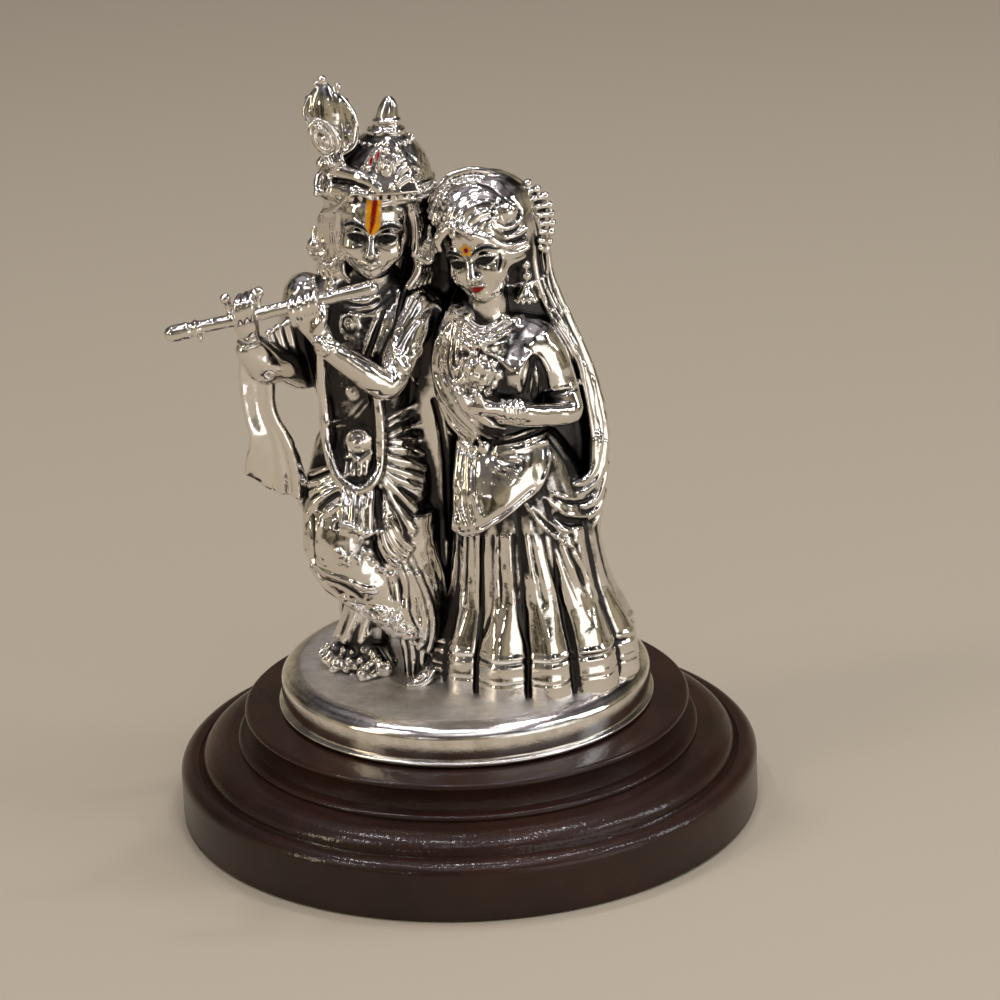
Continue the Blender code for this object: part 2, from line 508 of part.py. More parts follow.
def radha_veil(bm):
    """The veil from her head down her back, its front edge past her arm, and its end tucked in swags at the belt."""
    stack(bm, [(17, 11.5, 2.2, 11.0, 7.8), (26, 11.3, 1.0, 12.0, 8.0), (34, 11.0, -0.4, 13.0, 7.8),
               (42, 10.8, -1.0, 13.2, 7.2), (50, 10.2, -1.4, 12.2, 6.6), (57, 9.6, -1.8, 10.6, 6.2),
               (64, 8.6, -2.0, 8.6, 6.0), (72, 7.8, -1.8, 8.8, 6.8), (78, 7.2, -2.6, 8.6, 7.8),
               (83, 6.6, -3.6, 7.0, 6.6), (85.6, 6.2, -4.2, 4.0, 4.0)], sides=40)
    front = [(13.2, -6.6, 79.5), (13.6, -5.8, 73.4), (14.6, -5.6, 66.6), (17.2, -6.4, 60.8), (20.6, -7.0, 54.6),
             (22.2, -7.6, 48.0), (22.9, -8.0, 41.0), (22.4, -8.4, 35.6)]
    outer = [(14.6, -1.6, 81.0), (16.0, -0.6, 74.0), (16.6, -1.0, 67.4), (19.4, -1.4, 60.0), (22.6, -1.8, 52.0),
             (24.6, -2.4, 43.4), (24.9, -3.0, 37.3), (23.8, -3.6, 31.5)]
    rows = [[tuple(a + (b - a) * s for a, b in zip(p, q)) for s in (0, 0.33, 0.67, 1)]
            for p, q in zip(smooth(front, 2), smooth(outer, 2))]
    sheet(bm, rows, 1.7)
    swags = (
        [(14.8, -12.4, 42.0), (15.8, -12.8, 38.4), (19.0, -11.4, 35.4), (22.4, -8.2, 36.6), (23.8, -6.0, 41.2)],
        [(14.6, -13.8, 36.8), (16.8, -13.2, 33.6), (20.2, -11.0, 32.2), (23.2, -7.0, 33.8)],
        [(13.8, -14.0, 35.4), (16.0, -14.0, 30.8), (20.0, -11.2, 27.8), (23.0, -7.0, 29.4)],
        [(12.6, -15.4, 33.2), (14.4, -15.8, 27.2), (19.0, -13.0, 22.4), (22.6, -8.4, 18.6)],
    )
    for swag in swags:
        limb(bm, with_radius(swag, 1.35), sides=8)
    panel = [[tuple(a + (b - a) * s for a, b in zip(p, q)) for s in (0, 0.5, 1)]
             for p, q in zip(smooth(swags[2], 2), smooth(swags[3], 2))]
    sheet(bm, panel, 1.8)


def radha_head(bm):
    ball(bm, (5.0, -8.6, 74.6), (6.9, 7.2, 8.8), (0, 0, -18))
    ball(bm, (6.8, -5.4, 77.6), (8.8, 8.0, 8.6))
    limb(bm, [(3.6, -15.4, 75.0, 0.7), (3.0, -16.6, 72.2, 0.95)], sides=8)
    ball(bm, (3.9, -14.2, 67.4), (1.8, 1.5, 1.5))
    ball(bm, (3.3, -15.4, 69.4), (1.6, 0.8, 0.6))
    for side in (-1, 1):
        ball(bm, (4.1 + 2.9 * side, -14.4 + 0.7 * side, 73.6), (1.6, 0.9, 0.8))
        limb(bm, [(3.9 + 1.1 * side, -15.6, 75.2, 0.5), (4.2 + 3.0 * side, -15.0 + 0.8 * side, 76.2, 0.5),
                  (4.4 + 5.2 * side, -13.0 + 1.4 * side, 75.2, 0.4)], sides=6)
    ball(bm, (9.4, -11.6, 80.2), (2.4, 1.6, 2.2))
    limb(bm, [(2.0, -13.6, 79.6, 1.4), (6.0, -13.8, 78.8, 1.6), (10.4, -11.4, 76.6, 1.6), (12.6, -8.4, 73.8, 1.5)])
    for k in range(5):
        angle = radians(60 - 30 * k)
        limb(bm, [(12.4 + 1.2 * cos(angle), -2.6, 77.2 + 2.2 * sin(angle), 0.9),
                  (13.4 + 3.4 * cos(angle), -2.2, 77.2 + 4.6 * sin(angle), 1.0)], sides=8)
    beads(bm, [(12.9, -8.6, 71.2), (12.6, -9.0, 68.4), (12.3, -9.0, 65.6)], 1.0, 2)
    necklace = [(1.2, -10.6, 64.6), (3.6, -13.2, 62.4), (6.8, -13.6, 61.6), (10.2, -12.0, 62.4)]
    limb(bm, with_radius(necklace, 0.6), sides=7)


FORMS = (
    krishna_torso, krishna_legs, krishna_dhoti, krishna_shawl, krishna_arms, flute, scarf, garland, krishna_head,
    crown, feather, radha_skirt, radha_torso, radha_arm, radha_shawl, radha_apron, radha_veil, radha_head,
)


def figures(material):
    """All the forms as one skin with even facets, thinned to the wanted number of triangles."""
    bm = bmesh.new()
    for form in FORMS:
        form(bm)
    bmesh.ops.transform(bm, verts=bm.verts, matrix=Matrix.Translation((0, 0, BASE_TOP)) @ Matrix.Scale(UNIT, 4))
    obj = object_from(bm, "silver_figures", material)
    fuse = obj.modifiers.new("fuse", "REMESH")
    fuse.mode = "VOXEL"
    fuse.voxel_size = FUSE_CELL
    relax = obj.modifiers.new("relax", "SMOOTH")
    relax.factor = 0.5
    relax.iterations = 1
    bpy.context.view_layer.update()
    fused = obj.evaluated_get(bpy.context.evaluated_depsgraph_get())
    thin = obj.modifiers.new("thin", "DECIMATE")
    thin.ratio = FIGURE_TRIANGLES / (2 * len(fused.data.polygons))
    return obj


def main():
    clear_scene()
    silver = finish_of("antique_silver", (0.80, 0.77, 0.72), 0.16, 1.0)
    wood = finish_of("brown_varnished_wood", (0.055, 0.022, 0.014), 0.32, 0.0, coat=0.4)
    turned("turned_plinth", plinth_profile(), PLINTH_SEGMENTS, wood)
    base = turned("silver_base", base_profile(), BASE_SEGMENTS, silver)
    base.hide_render = True
    base.display_type = "WIRE"
    group = figures(silver)
    join = group.modifiers.new("base", "BOOLEAN")
    join.operation = "UNION"
    join.object = base


main()
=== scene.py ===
"""The silver pair and its plinth with all their detail. Metres in the scene, millimetres in the forms."""

from math import cos, pi, radians, sin

import bmesh
import bpy
import numpy as np
import openvdb
from mathutils import Matrix, Vector


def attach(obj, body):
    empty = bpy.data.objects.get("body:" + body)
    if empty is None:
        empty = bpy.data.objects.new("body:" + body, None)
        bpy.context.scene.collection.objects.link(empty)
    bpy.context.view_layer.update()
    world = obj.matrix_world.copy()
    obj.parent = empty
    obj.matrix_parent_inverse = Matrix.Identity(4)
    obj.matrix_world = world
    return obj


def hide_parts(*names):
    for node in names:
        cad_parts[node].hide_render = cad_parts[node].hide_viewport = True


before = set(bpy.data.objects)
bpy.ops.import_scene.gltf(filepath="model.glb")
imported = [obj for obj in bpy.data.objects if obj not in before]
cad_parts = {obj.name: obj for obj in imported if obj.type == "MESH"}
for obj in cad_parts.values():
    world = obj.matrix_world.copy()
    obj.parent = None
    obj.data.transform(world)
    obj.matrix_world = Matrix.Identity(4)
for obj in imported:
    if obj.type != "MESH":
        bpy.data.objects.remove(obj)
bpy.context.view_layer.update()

MM = 0.001
FAR = 9.0  # The distance kept where no surface is near, in mm
END_SOFT = 0.6  # How much the ends of a stack are rounded, in mm

# The distance grids and the meshes made from them
BODY_CELL, HEAD_CELL = 0.26, 0.17
BODY_TRIANGLES, HEAD_TRIANGLES = 195000, 190000
BODY_DENT, HEAD_DENT = 0.045, 0.02
DENTS = ((1.5, 3), (3.4, 5))  # Size across in mm, and seed
CRUMB_POINTS = 400  # A loose piece with fewer points is dropped

# The grid that says how enclosed each place is: its corners and cell in mm, the cells that are averaged each way, and
# the largest distance that counts
ROOM_BOX = ((-50, -27, -8), (34, 17, 107))
ROOM_CELL, ROOM_REACH, ROOM_LIMIT = 0.8, 5, 2

# Lines of sight are followed from an upright plane back to the surface, all in mm
IN_FRONT = -24.0
RAY_LENGTH, RAY_STEP = 46.0, 0.12
RIDGE_PLANE = -14.0  # The upright plane on which ridges are drawn

# The camera, from the photograph: its distance, height angle, heading, tilt down and roll
CAMERA_DISTANCE = 562.75
CAMERA_HEIGHT_ANGLE = radians(24.668)
CAMERA_HEADING = radians(0.788)
CAMERA_PITCH = radians(19.476)
CAMERA_ROLL = radians(-2.182)
CAMERA_LENS = 115.2
CAMERA_SENSOR = 36.0

# The plinth and the silver base
PLINTH_TOP = 18.9
BASE_BOTTOM = 19.2
PLATEAU = 26.2
BASE_RADIUS = 32.3

EYE = np.array((0.0, -CAMERA_DISTANCE * cos(CAMERA_HEIGHT_ANGLE),
                CAMERA_DISTANCE * sin(CAMERA_HEIGHT_ANGLE) - PLATEAU))
FORWARD = np.array((sin(CAMERA_HEADING) * cos(CAMERA_PITCH), cos(CAMERA_HEADING) * cos(CAMERA_PITCH),
                    -sin(CAMERA_PITCH)))
LEVEL = np.array((cos(CAMERA_HEADING), -sin(CAMERA_HEADING), 0.0))
UPRIGHT = np.cross(LEVEL, FORWARD)
ACROSS = cos(CAMERA_ROLL) * LEVEL + sin(CAMERA_ROLL) * UPRIGHT
ABOVE = cos(CAMERA_ROLL) * UPRIGHT - sin(CAMERA_ROLL) * LEVEL
PICTURE = 1000
FOCAL_PIXELS = CAMERA_LENS / CAMERA_SENSOR * PICTURE


def sight(u, v):
    """The direction of the line of sight through pixel (u, v)."""
    way = FORWARD + (u - PICTURE / 2) / FOCAL_PIXELS * ACROSS - (v - PICTURE / 2) / FOCAL_PIXELS * ABOVE
    return way / np.linalg.norm(way)


def at(u, v, y):
    """The point seen at pixel (u, v) on the upright plane y."""
    way = sight(u, v)
    return EYE + way * (y - EYE[1]) / way[1]


def placed(route):
    """Stations (u, v, y, ...) as (x, y, z, ...)."""
    return [(*at(u, v, y), *more) for u, v, y, *more in route]


def through(stations, spans=4):
    """Points on a smooth curve through the stations, spans of them to each gap."""
    last = len(stations) - 1
    result = []
    for i in range(last):
        a, b, c, d = (np.array(stations[max(0, min(last, j))], float) for j in (i - 1, i, i + 1, i + 2))
        for t in np.arange(spans) / spans:
            result.append(0.5 * (2 * b + (c - a) * t + (2 * a - 5 * b + 4 * c - d) * t * t
                                 + (3 * b - a - 3 * c + d) * t ** 3))
    result.append(np.array(stations[last], float))
    return np.array(result)


def spaced(route, gap):
    """Points a gap apart along the smooth curve through the route."""
    curve = through(route, 12)
    run = np.concatenate([[0.0], np.cumsum(np.linalg.norm(np.diff(curve[:, :3], axis=0), axis=1))])
    count = max(1, int(round(run[-1] / gap)))
    return np.array([[np.interp(run[-1] * k / count, run, curve[:, c]) for c in range(curve.shape[1])]
                     for k in range(count + 1)])


def even(route, radius, right=0, down=0):
    """The route (u, v) with one radius all along, moved by some pixels."""
    return [(u + right, v + down, radius) for u, v in route]


def between(first, second, radius):
    """A route halfway between two others."""
    return [((p[0] + q[0]) / 2, (p[1] + q[1]) / 2, radius) for p, q in zip(first, second)]


def blend(first, second, share, radius):
    """Stations part of the way from one row of points to another."""
    return [(*(np.array(a) * (1 - share) + np.array(b) * share), radius) for a, b in zip(first, second)]


def soft_min(a, b, soft):
    """The smaller of two distances, rounded where they are nearly equal."""
    reach = np.maximum(soft - np.abs(a - b), 0.0) / soft
    return np.minimum(a, b) - reach * reach * soft * 0.25


def turn_matrix(tilt):
    """The rotation by degrees about X, then Y, then Z."""
    turn = np.eye(3)
    for angle, axis in zip(tilt, "XYZ"):
        turn = np.array(Matrix.Rotation(radians(angle), 3, axis)) @ turn
    return turn


class Clay:
    """A solid as distances to its surface, in mm, at the points of a regular grid. Heights start at the plateau."""

    def __init__(self, low, high, cell):
        self.cell = cell
        self.first = np.floor(np.array(low) / cell).astype(int)
        last = np.ceil(np.array(high) / cell).astype(int)
        self.value = np.full(last - self.first + 1, FAR, np.float32)

    def window(self, low, high):
        start = np.maximum(np.floor(np.array(low) / self.cell).astype(int) - self.first, 0)
        stop = np.minimum(np.ceil(np.array(high) / self.cell).astype(int) - self.first + 1, self.value.shape)
        if (stop <= start).any():
            return None
        place = tuple(slice(a, b) for a, b in zip(start, stop))
        x, y, z = ((np.arange(a, b) + f).astype(np.float32) * self.cell for a, b, f in zip(start, stop, self.first))
        return place, x[:, None, None], y[None, :, None], z[None, None, :]

    def merge(self, place, distance, soft, cut=False):
        old = self.value[place]
        if cut:
            self.value[place] = -soft_min(-old, distance, soft)
        else:
            self.value[place] = soft_min(old, distance, soft)

    def limb(self, stations, soft=0.5, spans=4, flat=None, depth=1.0, cut=False):
        """A rounded bar through stations (x, y, z, radius), depth times as thick along the flat direction."""
        route = through(stations, spans)
        reach = route[:, 3].max() + soft + 3 * self.cell
        found = self.window(route[:, :3].min(0) - reach, route[:, :3].max(0) + reach)
        if not found:
            return
        place, x, y, z = found
        squeeze = np.eye(3)
        if flat is not None:
            normal = np.array(flat, float) / np.linalg.norm(flat)
            squeeze += (1 / depth - 1) * np.outer(normal, normal)
        near = np.full((x.shape[0], y.shape[1], z.shape[2]), FAR, np.float32)
        for a, b in zip(route, route[1:]):
            pad = max(a[3], b[3]) + soft + 3 * self.cell
            box = []
            for axis, values in enumerate((x.ravel(), y.ravel(), z.ravel())):
                low, high = sorted((a[axis], b[axis]))
                box.append(slice(np.searchsorted(values, low - pad), np.searchsorted(values, high + pad)))
            i, j, k = box
            p = [x[i] - a[0], y[:, j] - a[1], z[:, :, k] - a[2]]
            v = squeeze @ (b[:3] - a[:3])
            if flat is not None:
                p = [squeeze[r, 0] * p[0] + squeeze[r, 1] * p[1] + squeeze[r, 2] * p[2] for r in range(3)]
            t = np.clip((p[0] * v[0] + p[1] * v[1] + p[2] * v[2]) / max(v @ v, 1e-9), 0, 1)
            d = np.sqrt((p[0] - t * v[0]) ** 2 + (p[1] - t * v[1]) ** 2 + (p[2] - t * v[2]) ** 2)
            d = (d - (a[3] + t * (b[3] - a[3]))) * (0.5 + 0.5 * depth)
            near[i, j, k] = np.minimum(near[i, j, k], d)
        self.merge(place, near, soft, cut)

    def ball(self, centre, radii, tilt=None, soft=0.5, cut=False):
        radii = np.broadcast_to(np.array(radii, float), 3)
        reach = radii.max() + soft + 3 * self.cell
        found = self.window(np.array(centre) - reach, np.array(centre) + reach)
        if not found:
            return
        place, x, y, z = found
        p = [x - centre[0], y - centre[1], z - centre[2]]
        if tilt is not None:
            back = turn_matrix(tilt).T
            p = [back[r, 0] * p[0] + back[r, 1] * p[1] + back[r, 2] * p[2] for r in range(3)]
        inner = np.sqrt(sum((q / r) ** 2 for q, r in zip(p, radii)))
        outer = np.sqrt(sum((q / r ** 2) ** 2 for q, r in zip(p, radii))) + 1e-6
        self.merge(place, inner * (inner - 1) / outer, soft, cut)

    def beads(self, route, radius, gap=None, soft=0.15):
        for point in spaced(route, gap or 1.75 * radius):
            self.ball(point[:3], radius, soft=soft)

    def stack(self, sections, soft=0.6, fold=None, spans=4):
        """A form cut level through sections (height, centre x, centre y, half width, half depth).

        The fold function adds to the radius at an angle from the front and a height.
        """
        table = through(sections, spans)
        heights, cx, cy, width, depth = table.T
        side, pad = (width + 4).max(), soft + 3 * self.cell
        found = self.window((cx.min() - side, (cy - depth).min() - 4, heights[0] - pad),
                            (cx.max() + side, (cy + depth).max() + 4, heights[-1] + pad))
        place, x, y, z = found
        cx, cy, width, depth = (np.interp(z.ravel(), heights, row)[None, None, :].astype(np.float32)
                                for row in (cx, cy, width, depth))
        p, q = (x - cx) / width, (y - cy) / depth
        size = np.maximum(np.sqrt(p * p + q * q), 0.05)
        distance = np.sqrt((x - cx) ** 2 + (y - cy) ** 2) * (1 - 1 / size)
        if fold:
            distance = distance - fold(np.arctan2(p, -q), z)
        distance = -soft_min(-distance, z - heights[0], END_SOFT)
        distance = -soft_min(-distance, heights[-1] - z, END_SOFT)
        self.merge(place, distance, soft)

    def cloth(self, rows, thickness, soft=0.4, cut=False):
        """A cloth of even thickness through rows of equally many points."""
        grid = np.array(rows, float)
        along = np.gradient(grid, axis=0)
        over = np.gradient(grid, axis=1)
        normal = np.cross(over, along)
        normal /= np.linalg.norm(normal, axis=2, keepdims=True) + 1e-9
        down, across = grid.shape[:2]
        count = down * across
        points = np.concatenate([(grid + normal * thickness / 2).reshape(-1, 3),
                                 (grid - normal * thickness / 2).reshape(-1, 3)])
        quads = []
        for i in range(down - 1):
            for j in range(across - 1):
                a, b = i * across + j, (i + 1) * across + j
                quads.append((a, a + 1, b + 1, b))
                quads.append((count + b, count + b + 1, count + a + 1, count + a))
        rim = ([(0, j) for j in range(across)] + [(i, across - 1) for i in range(1, down)]
               + [(down - 1, j) for j in range(across - 2, -1, -1)] + [(i, 0) for i in range(down - 2, 0, -1)])
        edge = [i * across + j for i, j in rim]
        for a, b in zip(edge, edge[1:] + edge[:1]):
            quads.append((b, a, count + a, count + b))
        found = self.window(points.min(0) - 4 * self.cell, points.max(0) + 4 * self.cell)
        if not found:
            return
        place, x, y, z = found
        level = openvdb.FloatGrid.createLevelSetFromPolygons(
            points.astype(np.float32), quads=np.array(quads, np.uint32),
            transform=openvdb.createLinearTransform(voxelSize=self.cell), halfWidth=4.0)
        near = np.zeros((x.shape[0], y.shape[1], z.shape[2]), np.float32)
        level.copyToArray(near, ijk=tuple(int(s.start + f) for s, f in zip(place, self.first)))
        self.merge(place, near, soft, cut)

    def sample(self, points):
        """The distance at each point, straight between the grid's values."""
        spot = np.array(points, float) / self.cell - self.first
        end = np.array(self.value.shape) - 1.001
        away = ((spot < 0) | (spot > end)).any(axis=1)
        spot = np.clip(spot, 0, end)
        base = spot.astype(int)
        part = spot - base
        total = 0.0
        for corner in np.ndindex(2, 2, 2):
            weight = np.prod(np.where(corner, part, 1 - part), axis=1)
            total = total + weight * self.value[tuple((base + corner).T)]
        return np.where(away, FAR, total)

    def ridge(self, route, sink, soft, cut=False):
        """A fold laid on the surface along points (x, z, radius) of an upright plane. A cut one is a groove."""
        ahead = np.arange(RIDGE_PLANE, 24.0, 0.1)
        line = []
        for x, z, radius in through(route, 4):
            start = np.array((x, RIDGE_PLANE, z))
            way = (start - EYE) / np.linalg.norm(start - EYE)
            inside = self.sample(start + ahead[:, None] * way) < 0
            line.append((*(start + ahead[inside.argmax()] * way), radius))
        line = np.array(line)
        line[1:-1, 1] = (line[:-2, 1] + 2 * line[1:-1, 1] + line[2:, 1]) / 4
        line[:, 1] += 0.94 * line[:, 3] * sink
        line[:, 2] -= 0.33 * line[:, 3] * sink
        self.limb(line, soft, 1, cut=cut)

    def seen(self, route, start=IN_FRONT):
        """Stations (u, v, ...) slid along the line of sight onto the surface, from the plane y = start back."""
        ahead = np.arange(0.0, RAY_LENGTH, RAY_STEP)
        rays = [(at(u, v, start), sight(u, v)) for u, v, *_ in route]
        inside = [self.sample(first + ahead[:, None] * way) < 0 for first, way in rays]
        order = np.array([k for k, hits in enumerate(inside) if hits.any()])
        depth = np.interp(np.arange(len(rays)), order, [ahead[inside[k].argmax()] for k in order])
        return [(*(first + way * far), *station[2:]) for (first, way), far, station in zip(rays, depth, route)]

    def spot(self, u, v, start=IN_FRONT):
        """The point of the surface at one pixel."""
        return np.array(self.seen([(u, v)], start)[0])

    def fold(self, route, sink=0.3, start=IN_FRONT, soft=0.4, cut=False):
        """A rounded fold, or a groove where cut, laid on the surface along stations (u, v, radius)."""
        line = np.array(self.seen(through(route, 4), start))
        for _ in range(2):
            line[1:-1, :3] = (line[:-2, :3] + 2 * line[1:-1, :3] + line[2:, :3]) / 4
        line[:, :3] += FORWARD * line[:, 3:] * sink
        self.limb(line, soft, 1, cut=cut)

    def crease(self, route, start=IN_FRONT, soft=0.3):
        """A groove laid on the surface along stations (u, v, radius)."""
        self.fold(route, -0.1, start, soft, cut=True)

    def pearls(self, route, radius, gap=None, start=IN_FRONT, soft=0.12, sink=0.2):
        """Balls in a row laid on the surface along pixels (u, v)."""
        for point in spaced(self.seen(through(route, 4), start), gap or 1.8 * radius):
            self.ball(point + FORWARD * sink * radius, radius, soft=soft)

    def dabs(self, spots, start=IN_FRONT, soft=0.12, sink=0.2):
        """Single balls laid on the surface at (u, v, radius)."""
        for x, y, z, radius in self.seen(spots, start):
            self.ball(np.array((x, y, z)) + FORWARD * sink * radius, radius, soft=soft)

    def hoop(self, centre, wide, high, radius, ahead):
        """An upright ring some way ahead of a point."""
        self.limb([(centre[0] + wide * cos(a), centre[1] - ahead, centre[2] + high * sin(a), radius)
                   for a in np.arange(13) * pi / 6], soft=0.08, spans=2)


def roughen(clay, size, amount, seed):
    """Adds soft random dents about size mm across."""
    dents = np.random.default_rng(seed).standard_normal([int(n * clay.cell / size) + 3 for n in clay.value.shape])
    for axis, count in enumerate(clay.value.shape):
        spot = np.arange(count) * clay.cell / size
        base = spot.astype(int)
        part = spot - base
        part = (part * part * (3 - 2 * part)).reshape([count if a == axis else 1 for a in range(3)])
        dents = (dents.take(base, axis) * (1 - part) + dents.take(base + 1, axis) * part).astype(np.float32)
    clay.value += amount * dents


def averaged(value, reach):
    """The mean of the values within so many cells along each axis."""
    for axis in range(3):
        padded = np.pad(value, [(reach, reach) if a == axis else (0, 0) for a in range(3)], mode="edge")
        size = value.shape[axis]
        total = 0.0
        for k in range(2 * reach + 1):
            total = total + padded[tuple(slice(k, k + size) if a == axis else slice(None) for a in range(3))]
        value = total / (2 * reach + 1)
    return value


def surroundings(clays):
    """How enclosed each place is, within some 4 mm, by all the clays and the plateau together, for the painted shade.
    """
    room = Clay(*ROOM_BOX, ROOM_CELL)
    x, y, z = np.meshgrid(*((np.arange(n) + f) * room.cell for n, f in zip(room.value.shape, room.first)),
                          indexing="ij")
    points = np.stack([x.ravel(), y.ravel(), z.ravel()], axis=1)
    value = np.where(np.hypot(x, y) < BASE_RADIUS - 3, z, FAR)
    for clay in clays:
        low = clay.first * clay.cell
        high = low + (np.array(clay.value.shape) - 1) * clay.cell
        within = ((points >= low) & (points <= high)).all(axis=1)
        value.ravel()[within] = np.minimum(value.ravel()[within], clay.sample(points[within]))
    room.value = -averaged(np.clip(value, -ROOM_LIMIT, ROOM_LIMIT), ROOM_REACH) / ROOM_LIMIT
    return room


def linked(name, data):
    """A new object in the scene."""
    obj = bpy.data.objects.new(name, data)
    bpy.context.scene.collection.objects.link(obj)
    return obj


def smooth(clay):
    """Takes the grid's steps off, once along each axis."""
    for axis in range(3):
        low = [slice(None)] * 3
        middle, high = list(low), list(low)
        low[axis], middle[axis], high[axis] = slice(0, -2), slice(1, -1), slice(2, None)
        value = clay.value
        value[tuple(middle)] = (value[tuple(low)] + 2 * value[tuple(middle)] + value[tuple(high)]) / 4


def skin(clay, name, triangles):
    """The clay's surface as an object with at most about so many triangles."""
    grid = openvdb.FloatGrid(FAR)
    grid.copyFromArray(np.minimum(clay.value, FAR), ijk=tuple(int(f) for f in clay.first))
    grid.transform = openvdb.createLinearTransform(voxelSize=clay.cell)
    points, quads = grid.convertToQuads(isovalue=0.0)
    mesh = bpy.data.meshes.new(name)
    mesh.from_pydata(points.tolist(), [], quads.tolist())
    obj = linked(name, mesh)
    drop_crumbs(mesh)
    if 2 * len(mesh.polygons) > triangles:
        thin = obj.modifiers.new("thin", "DECIMATE")
        thin.ratio = triangles / (2 * len(mesh.polygons))
        graph = bpy.context.evaluated_depsgraph_get()
        obj.data = bpy.data.meshes.new_from_object(obj.evaluated_get(graph))
        obj.modifiers.clear()
    return obj


def settled(clay, spots):
    """The points moved onto the clay's surface, and its normal at each."""
    for _ in range(2):
        slope = slope_at(clay, spots)
        size = np.maximum((slope ** 2).sum(1, keepdims=True), 0.05)
        step = clay.sample(spots)[:, None] * slope / size
        spots = spots - np.clip(step, -clay.cell / 2, clay.cell / 2)
    slope = slope_at(clay, spots)
    return spots, slope / (np.linalg.norm(slope, axis=1, keepdims=True) + 1e-9)


def depth_around(clay, spots, step, reach, limit):
    """The mean depth in the clay within a reach in mm of each spot, from every step-th value."""
    coarse = Clay((0, 0, 0), (1, 1, 1), clay.cell * step)
    coarse.first = clay.first / step
    coarse.value = averaged(np.clip(clay.value[::step, ::step, ::step], -limit, limit),
                            max(1, int(reach / clay.cell / step)))
    return -coarse.sample(spots)


def cast(clay, name, triangles, room, dent, shade_and_patina_spots, paint=None):
    """The clay as a mesh: its triangles, true normals, how hollow each place is, its painted shade and its paint."""
    for size, seed in DENTS:
        roughen(clay, size, dent, seed)
    smooth(clay)
    obj = skin(clay, name, triangles)
    mesh = obj.data
    spots = np.empty(len(mesh.vertices) * 3)
    mesh.vertices.foreach_get("co", spots)
    spots, normals = settled(clay, spots.reshape(-1, 3))
    # Painted shade: darker where the clays and the plateau enclose a place, and darker at each listed spot of painted
    # shade and patina
    shade = room.sample(spots)
    for u, v, y, reach, gain in shade_and_patina_spots:
        shade = shade + gain * np.exp(-((spots - at(u, v, y)) ** 2).sum(axis=1) / reach ** 2)
    mesh.vertices.foreach_set("co", ((spots + (0, 0, PLATEAU)) * MM).ravel())
    layers = {"hollow": depth_around(clay, spots, step=1, reach=0.55, limit=1.2) / 0.6,
              "valley": depth_around(clay, spots, step=3, reach=1.8, limit=3) / 1.8, "shade": shade}
    for label, values in layers.items():
        mesh.attributes.new(label, "FLOAT", "POINT").data.foreach_set("value", values.astype(np.float32))
    colours = paint(spots) if paint else np.zeros((len(spots), 4))
    layer = mesh.attributes.new("paint", "FLOAT_COLOR", "POINT")
    layer.data.foreach_set("color", colours.astype(np.float32).ravel())
    mesh.shade_smooth()
    mesh.update()
    mesh.normals_split_custom_set_from_vertices(normals.tolist())
    return obj


def slope_at(clay, spots):
    """How fast the distance grows along each axis."""
    step = 0.8 * clay.cell
    return np.stack([(clay.sample(spots + step * way) - clay.sample(spots - step * way)) / (2 * step)
                     for way in np.eye(3)], axis=1)


def drop_crumbs(mesh):
    """Deletes small loose pieces, but never the largest."""
    bm = bmesh.new()
    bm.from_mesh(mesh)
    left = set(bm.verts)
    groups = []
    while left:
        first = left.pop()
        group, edge = [first], [first]
        while edge:
            vert = edge.pop()
            for link in vert.link_edges:
                other = link.other_vert(vert)
                if other in left:
                    left.remove(other)
                    group.append(other)
                    edge.append(other)
        groups.append(group)
    groups.sort(key=len)
    drop = [vert for group in groups[:-1] if len(group) < CRUMB_POINTS for vert in group]
    if drop:
        bmesh.ops.delete(bm, geom=drop, context="VERTS")
    bm.to_mesh(mesh)
    bm.free()


# Krishna below the chin
def krishna_trunk(clay):
    clay.stack([(27, -15, -6, 9.6, 7.6), (35, -14.3, -5.5, 10.6, 8.2), (41, -14.8, -6, 8.9, 7.0),
                (45.5, -14.7, -6, 7.3, 5.8), (52, -14.8, -6, 8.2, 6.0), (60, -15, -6, 9.6, 6.4),
                (66, -15, -5.5, 9.8, 5.6), (69.5, -14.2, -5.5, 7.2, 4.2), (71.5, -13, -6, 4.2, 3.6)])
    clay.limb([(-13, -6.3, 67, 3.8), (-12, -7.2, 76, 3.3)], soft=1.2)
    clay.stack([(4, -15, 3.4, 6.0, 3.0), (16, -14.6, 2.2, 7.0, 3.0), (34, -14.2, 1.2, 8.8, 3.2),
                (50, -14.4, 0.0, 8.0, 2.8), (64, -15, -1.0, 8.4, 2.8), (69, -14.4, -2.0, 6.0, 2.4)],
               fold=lambda angle, z: 0.35 * np.cos(14 * angle) * np.clip((66 - z) / 20, 0, 1))


